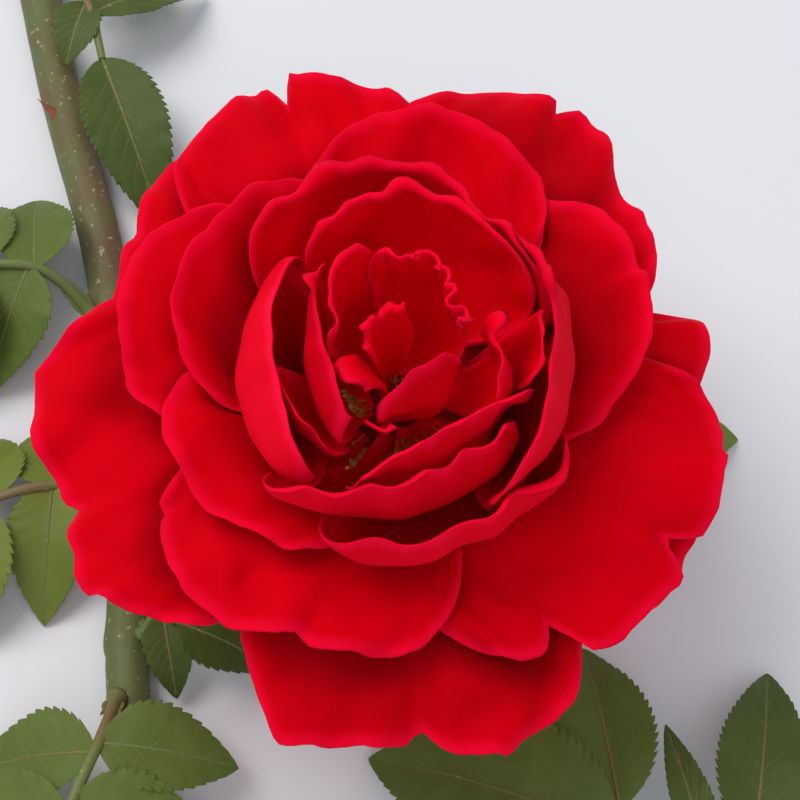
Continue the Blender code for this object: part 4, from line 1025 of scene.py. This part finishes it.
LEAVES = (
    leaf("leaf_upper", 0.045, ((-63, 119, 12), (-58, 110, 13), (-55, 99, 11)), (
        (0.2, 28, 20, 12, 2), (0.5, -106, 13, 9, 9), (0.62, 38, 25, 11, 2), (1.0, -69, 34, 15, 0))),
    leaf("leaf_left", 0.32, ((-61, 50, 13), (-71, 50, 15), (-83, 47, 12)), (
        (0.2, 98, 22, 14, 3), (0.25, -112, 20, 15, 1), (0.62, 102, 24, 15, 0), (0.66, -104, 23, 16, 0),
        (1.0, 188, 30, 18, 0))),
    leaf("leaf_lower_left", 0.44, ((-53, 9, 11), (-62, 7, 13), (-73, 3, 11)), (
        (0.26, 112, 17, 12, 1), (0.3, -94, 20, 13, 0), (0.72, 104, 19, 13, 0), (0.76, -100, 23, 14, 0),
        (1.0, 186, 28, 17, 0))),
    leaf("leaf_middle", 0.52, ((-38, -13, 9), (-35, -15, 10)), (
        (0.5, -80, 12, 8, 2), (1.0, -16, 16, 11, 1))),
    leaf("leaf_bottom", 0.56, ((-45, -35, 13), (-49, -48, 15), (-54, -63, 12)), (
        (0.18, -3, 21, 14, 5), (0.24, 176, 21, 14, 1), (0.5, -18, 22, 15, 4), (0.56, 184, 25, 16, 0),
        (1.0, -104, 31, 19, 0))),
    leaf("leaf_small", 0.72, ((-17, -68, 10), (-15, -59, 11)), (
        (0.4, 60, 13, 9, 1), (1.0, 122, 17, 11, 1))),
    leaf("leaf_low", 0.76, ((-26, -84, 12), (-32, -94, 12), (-36, -102, 10)), (
        (0.5, 175, 24, 15, 0), (0.55, -50, 24, 15, 0), (1.0, -110, 28, 17, 0))),
    leaf("leaf_front", 0.90, ((22, -76, 12), (31, -62, 14), (34, -46, 11)), (
        (0.25, 140, 26, 16, 0), (0.3, 35, 20, 13, 2), (0.84, 157, 41, 23, 1), (1.0, 97, 30, 15, 2))),
    leaf("leaf_front_right", 0.97, ((40, -80, 10), (46, -68, 12), (54, -52, 10)), (
        (0.5, -14, 26, 15, 0), (0.66, 101, 32, 7, 11), (0.84, 8, 24, 14, 0), (1.0, 79, 32, 14, 2))),
    leaf("leaf_right", 0.66, ((0, 9, 20), (14, 15, 17), (28, 17, 11)), (
        (0.45, 80, 26, 16, 0), (0.5, -66, 27, 17, 0), (0.8, 64, 26, 16, 0), (0.84, -40, 27, 16, 0),
        (1.0, 12, 32, 18, 0)), carrier="shoot"),
    leaf("leaf_back", 0.33, ((-42, 50, 12), (-26, 57, 14), (-6, 60, 11)), (
        (0.38, 70, 24, 15, 0), (0.43, -54, 26, 16, 0), (0.75, 70, 26, 16, 0), (0.8, -40, 26, 16, 0),
        (1.0, 4, 31, 18, 0))),
)
LEAF_GREENS = (2, 1, 0, 2, 1, 0, 1, 1, 2, 0, 1)  # which of the greens, from light to dark, each leaf has
CANE_PRICKLES = ((0.1, 60), (0.17, 130), (0.36, 70), (0.43, 140), (0.61, 40), (0.68, 100), (0.8, 60),
                 (0.86, 120))  # (place along it, angle round it from the right in degrees)
SHOOT_PRICKLES = ((0.36, 100), (0.5, 60), (0.6, 150), (0.78, -20))
SHOOT_NODES = (0.02, 0.034)  # where the shoot's bark swells, in metres from its foot
CUT_SHARE = 0.96  # the radius of a cut face, as a share of the bark's

# ---------------------------------------------------------------- finishes


class Nodes:
    """A tree of nodes under making, by short calls."""

    def __init__(self, tree):
        self.tree = tree

    def node(self, kind, values=None, **settings):
        """A new node, its inputs fed from values and its own settings set."""
        made = self.tree.nodes.new(kind)
        for name, value in settings.items():
            setattr(made, name, value)
        for name, value in (values or {}).items():
            self.feed(value, made.inputs[name])
        return made

    def feed(self, value, socket):
        """Links another node's output to a socket, or sets the socket to a plain value."""
        if isinstance(value, bpy.types.NodeSocket):
            self.tree.links.new(value, socket)
        else:
            socket.default_value = value

    def blend(self, share, first, second):
        """A colour between two: the first where share is 0, the second where it is 1."""
        mixed = self.node("ShaderNodeMix", data_type="RGBA")
        self.feed(share, mixed.inputs[0])
        self.feed(first, mixed.inputs[6])
        self.feed(second, mixed.inputs[7])
        return mixed.outputs[2]

    def maths(self, how, first, second=0.5, third=0.5):
        """A sum, a product or another operation on up to three values."""
        made = self.node("ShaderNodeMath", operation=how)
        for value, socket in zip((first, second, third), made.inputs):
            self.feed(value, socket)
        return made.outputs[0]

    def span(self, value, low, high, to_low=0.0, to_high=1.0):
        """The value taken smoothly from between low and high to between to_low and to_high."""
        made = self.node("ShaderNodeMapRange", {"Value": value, "From Min": low, "From Max": high,
                                                "To Min": to_low, "To Max": to_high},
                         interpolation_type="SMOOTHSTEP")
        return made.outputs[0]

    def noise(self, where, scale, detail=3.0, rough=0.5):
        """Noise from 0 to 1 at a place, scale cells to the metre."""
        made = self.node("ShaderNodeTexNoise", {"Vector": where, "Scale": scale, "Detail": detail,
                                                "Roughness": rough})
        return made.outputs[0]

    def place(self):
        """The place on the object, in metres."""
        return self.node("ShaderNodeTexCoord").outputs["Object"]

    def fact(self, name, output="Fac"):
        """What the mesh tells of a point under this name."""
        return self.node("ShaderNodeAttribute", attribute_name=name).outputs[output]


def mottle_group():
    """The effect that all the skins share, built once: soft patches of one colour over another, and the
    height of the noise that they come from."""
    tree = bpy.data.node_groups.new("mottle", "ShaderNodeTree")
    for name, kind in (("Place", "Vector"), ("Scale", "Float"), ("Detail", "Float"), ("Low", "Float"),
                       ("High", "Float"), ("Share", "Float"), ("Ground", "Color"), ("Patches", "Color")):
        tree.interface.new_socket(name, in_out="INPUT", socket_type="NodeSocket" + kind)
    for name, kind in (("Colour", "Color"), ("Height", "Float")):
        tree.interface.new_socket(name, in_out="OUTPUT", socket_type="NodeSocket" + kind)
    nodes = Nodes(tree)
    given = nodes.node("NodeGroupInput").outputs
    height = nodes.noise(given["Place"], given["Scale"], given["Detail"])
    share = nodes.span(height, given["Low"], given["High"], 0.0, given["Share"])
    colour = nodes.blend(share, given["Ground"], given["Patches"])
    nodes.node("NodeGroupOutput", {"Colour": colour, "Height": height})
    return tree


MOTTLE = mottle_group()


class Finish(Nodes):
    """A material under making, with its shader's values."""

    def __init__(self, name):
        self.material = bpy.data.materials.new(name)
        self.material.use_nodes = True
        super().__init__(self.material.node_tree)
        self.shader = self.tree.nodes["Principled BSDF"]

    def mottled(self, ground, patches, scale, detail, low, high, share=1.0):
        """The mottle on this skin, as (colour, height)."""
        made = self.node("ShaderNodeGroup", node_tree=MOTTLE)
        for name, value in (("Place", self.place()), ("Scale", scale), ("Detail", detail), ("Low", low),
                            ("High", high), ("Share", share), ("Ground", ground), ("Patches", patches)):
            self.feed(value, made.inputs[name])
        return made.outputs["Colour"], made.outputs["Height"]

    def bump(self, height, strength, distance):
        """Fine relief in the shading, distance metres high."""
        made = self.node("ShaderNodeBump", {"Height": height, "Strength": strength,
                                            "Distance": distance})
        self.feed(made.outputs[0], self.shader.inputs["Normal"])

    def set(self, **values):
        """Sets the shader's inputs, with _ for each space in their names."""
        for name, value in values.items():
            self.feed(value, self.shader.inputs[name.replace("_", " ")])


def rgb(red, green, blue):
    """An opaque colour, linear."""
    return (red, green, blue, 1.0)


VEIN_STRETCH = (1.6, 0.05, 1.0)  # cells to the mm across a petal and along it, and petal by petal


def petal_velvet(name, body, deep, rim, back):
    """Velvety petal skin: on the inner face the body colour, with painted shade in the deep colour where
    the petals inside it are close, less of it near the rim, on the outer face the back's, and a painted
    highlight of the lighter rim colour near the rim on both. Fine veins run along it, and a fine grain
    of cells covers it."""
    skin = Finish(name)
    place = skin.fact("place", "Vector")
    outside, near = skin.fact("outside"), skin.fact("rim_distance")
    stretched = skin.node("ShaderNodeMapping", {"Vector": place, "Scale": VEIN_STRETCH})
    veins = skin.noise(stretched.outputs[0], 1.0, 4.0, 0.6)
    grain = skin.noise(skin.place(), 5200.0, 2.0)
    # painted shade: the deep colour where the petals inside are close, fading out over the last 8 mm to
    # the rim
    shaded = skin.maths("MULTIPLY", skin.fact("painted_occlusion"), skin.span(near, 0.0, 8.0))
    colour = skin.blend(shaded, body, deep)
    colour, _ = skin.mottled(colour, deep, scale=90.0, detail=3.0, low=0.3, high=0.8, share=0.25)
    colour = skin.blend(outside, colour, back)
    # painted highlight: the rim colour over the last few mm to the rim, stronger on the outer face
    rim_highlight = skin.maths("MULTIPLY_ADD", outside, 0.4, 0.4)
    colour = skin.blend(skin.maths("MULTIPLY", skin.span(near, 0.3, 2.8, 1.0, 0.0), rim_highlight), colour, rim)
    skin.set(Base_Color=colour, Roughness=0.65, Specular_IOR_Level=0.06,
             Specular_Tint=rgb(1.0, 0.1, 0.15), Sheen_Weight=0.1, Sheen_Roughness=0.5,
             Sheen_Tint=rgb(1.0, 0.01, 0.05), Subsurface_Weight=0.3,
             Subsurface_Radius=(1.0, 0.06, 0.05), Subsurface_Scale=0.0012)
    relief = skin.maths("ADD", skin.maths("MULTIPLY", veins, 0.8), skin.maths("MULTIPLY", grain, 0.2))
    skin.bump(relief, strength=0.35, distance=0.0004)
    return skin.material


def leaf_skin(name, colour, light, roughness, wax):
    """Leaf skin: one plain green with a faint mottle, waxy above and matt below."""
    skin = Finish(name)
    mottled, _ = skin.mottled(colour, light, scale=160.0, detail=4.0, low=0.35, high=0.75, share=0.6)
    skin.set(Base_Color=mottled, Roughness=roughness, Specular_IOR_Level=0.2, Coat_Weight=wax,
             Coat_Roughness=0.5, Subsurface_Weight=0.15, Subsurface_Radius=(0.5, 1.0, 0.2),
             Subsurface_Scale=0.0005)
    skin.bump(skin.noise(skin.place(), 1500.0, 3.0), strength=0.25, distance=0.0003)
    return skin.material


def stem_skin(name, colour, blush, pale, roughness):
    """Stem skin: a body colour with reddish blushes and fine pale flecks."""
    skin = Finish(name)
    flushed, _ = skin.mottled(colour, blush, scale=45.0, detail=3.0, low=0.42, high=0.68)
    flecked, _ = skin.mottled(flushed, pale, scale=900.0, detail=1.0, low=0.66, high=0.74)
    skin.set(Base_Color=flecked, Roughness=roughness, Specular_IOR_Level=0.4,
             Subsurface_Weight=0.08, Subsurface_Radius=(0.6, 1.0, 0.3), Subsurface_Scale=0.001)
    skin.bump(skin.noise(skin.place(), 1100.0, 4.0), strength=0.3, distance=0.0004)
    return skin.material


def plain_grain(name, colour, light, scale, roughness):
    """A dry surface with a fine grain: the cut wood, the anthers and the filaments."""
    skin = Finish(name)
    mottled, grain = skin.mottled(colour, light, scale, detail=4.0, low=0.3, high=0.7)
    skin.set(Base_Color=mottled, Roughness=roughness, Specular_IOR_Level=0.1)
    skin.bump(grain, strength=0.3, distance=0.0003)
    return skin.material


# ---------------------------------------------------------------- the spray


def make_bloom():
    """The petals, in two skins: the heart's is a copy with painted light, a lighter body and less
    painted shade where petals cover it, and painted shade in a darker back.
    """
    # the rim colour is a painted highlight along each petal's rim
    rim = rgb(1.0, 0.005, 0.055)
    # the deep colour is the painted shade beside the petals inside, and also the mottle's patches
    velvet = petal_velvet("petal velvet", rgb(0.64, 0.0, 0.006), rgb(0.2, 0.0, 0.002), rim,
                          rgb(0.76, 0.001, 0.013))
    # the heart's copy: painted light in a lighter body, a lighter deep colour for less painted shade,
    # and painted shade in a darker back
    heart = petal_velvet("petal velvet of the heart", rgb(0.78, 0.0, 0.006), rgb(0.4, 0.0, 0.003), rim,
                         rgb(0.68, 0.001, 0.01))
    settle(PETALS)
    for number, facts in enumerate(PETALS):
        make_petal(facts, number, heart if facts["name"].startswith(("inner", "heart")) else velvet)


def make_stems():
    """The cane on the ground, its cut ends and the flower shoot. Returns the lines and radii of the two
    that leaves grow from."""
    cane_skin = stem_skin("cane bark", rgb(0.11, 0.13, 0.04), rgb(0.14, 0.07, 0.035),
                          rgb(0.3, 0.28, 0.16), 0.55)
    shoot_skin = stem_skin("shoot bark", rgb(0.16, 0.24, 0.06), rgb(0.2, 0.14, 0.05),
                           rgb(0.4, 0.42, 0.2), 0.5)
    thorn = stem_skin("prickle brown", rgb(0.2, 0.05, 0.025), rgb(0.3, 0.1, 0.04),
                      rgb(0.4, 0.2, 0.1), 0.4)
    wood = plain_grain("cut wood", rgb(0.5, 0.45, 0.24), rgb(0.65, 0.6, 0.38), 2500.0, 0.8)

    plan = finer(np.array(CANE_PATH) * MM, 22)
    radii = np.linspace(*CANE_RADII, len(plan))
    level = np.column_stack([plan, radii])
    cane_line = np.column_stack([plan, radii * math.cos(math.pi / CANE_SIDES)])
    cane_length = np.linalg.norm(np.diff(level, axis=0), axis=1).sum()
    feet = [facts["foot"] * cane_length for facts in LEAVES if facts["carrier"] == "cane"]
    relief = bark(3, feet + [SHOOT_FOOT * cane_length], swell=0.1, ridges=9, ridge_height=0.012)
    path, size = make_stem("cane", level + SPRAY_AT, radii, CANE_SKIN, relief, CANE_PRICKLES,
                           (cane_skin, thorn))
    ends = [cut_end(path[end], unit(path[end] - path[beside]), size[end] * CUT_SHARE)
            for end, beside in ((0, 1), (-1, -2))]
    piece("cane_cut_ends", joined(ends), [wood])

    way = np.array(SHOOT_PATH) * MM
    start = sprouted((cane_line, radii), SHOOT_FOOT, way[0], SHOOT_RADII[0])
    axis = TURN @ np.array((0, 0, 1.0))
    top = np.array((0, 0, BLOOM_HEIGHT)) + axis * (HIP_PROFILE[-1][1] * MM - SEAT_GAP)
    before, last = (top - axis * back * MM for back in (5, 1))
    shoot_line = np.vstack([finer(np.vstack([start, way, before, last]), 14), top])
    buried = np.vstack([start + unit(start - way[0]) * 1.2 * MM, shoot_line, top + axis * 0.5 * MM])
    relief = bark(11, SHOOT_NODES, swell=0.07, ridges=7, ridge_height=0.01)
    make_stem("flower_shoot", buried + SPRAY_AT, SHOOT_RADII, SHOOT_SKIN, relief,
              SHOOT_PRICKLES, (shoot_skin, thorn))
    return {"cane": (cane_line, radii), "shoot": (shoot_line, SHOOT_RADII)}


def make_leaves(carriers):
    """The leaves, in three greens that share an underside and a stalk."""
    greens = [leaf_skin("leaf olive", rgb(0.13, 0.17, 0.024), rgb(0.17, 0.215, 0.04), 0.55, 0.04),
              leaf_skin("leaf mid green", rgb(0.095, 0.135, 0.022), rgb(0.125, 0.17, 0.034), 0.55, 0.04),
              leaf_skin("leaf dark green", rgb(0.058, 0.088, 0.014), rgb(0.08, 0.112, 0.02), 0.5, 0.05)]
    underside = leaf_skin("leaf underside", rgb(0.13, 0.19, 0.08), rgb(0.16, 0.22, 0.1), 0.7, 0.0)
    stalk = stem_skin("leaf stalk", rgb(0.13, 0.17, 0.045), rgb(0.2, 0.1, 0.04), rgb(0.22, 0.26, 0.09),
                      0.5)
    for number, facts in enumerate(LEAVES):
        make_leaf(facts, number, carriers, [greens[LEAF_GREENS[number]], underside], stalk)


def make_heart():
    """What the petals hold and hide: the hip, the sepals and the stamens."""
    make_hip([stem_skin("hip skin", rgb(0.15, 0.22, 0.06), rgb(0.2, 0.16, 0.06), rgb(0.3, 0.34, 0.14),
                        0.45),
              plain_grain("petal seats", rgb(0.16, 0.0, 0.003), rgb(0.24, 0.01, 0.005), 1200.0, 0.8)])
    sepal_sides = [leaf_skin("sepal green", rgb(0.13, 0.2, 0.06), rgb(0.17, 0.25, 0.08), 0.6, 0.0),
                   leaf_skin("sepal down", rgb(0.3, 0.36, 0.2), rgb(0.36, 0.42, 0.26), 0.8, 0.0)]
    for number in range(SEPAL_COUNT):
        make_sepal(number, sepal_sides)
    make_stamens([plain_grain("filament", rgb(0.4, 0.1, 0.03), rgb(0.55, 0.2, 0.05), 900.0, 0.6),
                  plain_grain("anther", rgb(0.17, 0.07, 0.012), rgb(0.42, 0.22, 0.04), 1800.0, 0.85)])


# ---------------------------------------------------------------- floor, lights and camera

FLOOR_HALF, FLOOR_LEVEL = 4.0, -0.3 * MM
WORLD_COLOUR, WORLD_STRENGTH = (0.9, 0.93, 1.0, 1.0), 0.56
# Square soft lights: name, place, side, power in watts, colour.
LIGHTS = (("key", (-0.36, 0.2, 0.82), 0.6, 5.3, (1.0, 0.98, 0.95)),
          ("fill", (0.15, -0.5, 0.7), 0.6, 1.5, (0.95, 0.97, 1.0)))
# The camera looks down on the bloom from the front: how steeply, from how far, how wide it sees, and
# how far its aim lies to the right of the bloom's foot and above it in its view.
CAMERA_TILT, CAMERA_FAR, CAMERA_SEES = math.radians(60), 0.3, math.radians(22)
AIM_RIGHT, AIM_UP = 0.7 * MM, 1.46 * MM


def make_floor():
    """A plain pale floor."""
    mesh = bpy.data.meshes.new("floor")
    corners = [(x * FLOOR_HALF, y * FLOOR_HALF, FLOOR_LEVEL)
               for x, y in ((-1, -1), (1, -1), (1, 1), (-1, 1))]
    mesh.from_pydata(corners, [], [(0, 1, 2, 3)])
    floor = placed("floor", mesh)
    pale = Finish("floor pale")
    pale.set(Base_Color=rgb(0.72, 0.73, 0.75), Roughness=0.9, Specular_IOR_Level=0.1)
    mesh.materials.append(pale.material)


def make_lights():
    """The pale room, and the two soft lights that look at the bloom."""
    world = bpy.data.worlds.new("pale room")
    world.use_nodes = True
    background = world.node_tree.nodes["Background"]
    background.inputs["Color"].default_value = WORLD_COLOUR
    background.inputs["Strength"].default_value = WORLD_STRENGTH
    bpy.context.scene.world = world
    for name, at, side, power, colour in LIGHTS:
        data = bpy.data.lights.new(name, "AREA")
        data.energy, data.size, data.color = power, side, colour
        light = placed(name, data)
        light.location = at
        light.rotation_euler = (Vector(BLOOM_AT) - Vector(at)).to_track_quat("-Z", "Y").to_euler()


def make_camera():
    """The camera, aimed at the bloom."""
    towards = Vector((0, -math.cos(CAMERA_TILT), math.sin(CAMERA_TILT)))
    up = Vector((0, math.sin(CAMERA_TILT), math.cos(CAMERA_TILT)))
    target = Vector(BLOOM_AT) + Vector((AIM_RIGHT, 0, 0)) + up * AIM_UP
    data = bpy.data.cameras.new("camera")
    data.angle = CAMERA_SEES
    data.clip_start, data.clip_end = 0.01, 20
    camera = placed("camera", data)
    camera.location = target + towards * CAMERA_FAR
    camera.rotation_euler = (-towards).to_track_quat("-Z", "Y").to_euler()
    bpy.context.scene.camera = camera


make_bloom()
make_leaves(make_stems())
make_heart()
make_floor()
make_lights()
make_camera()
bpy.context.scene.view_settings.view_transform = "Standard"
bpy.context.view_layer.update()
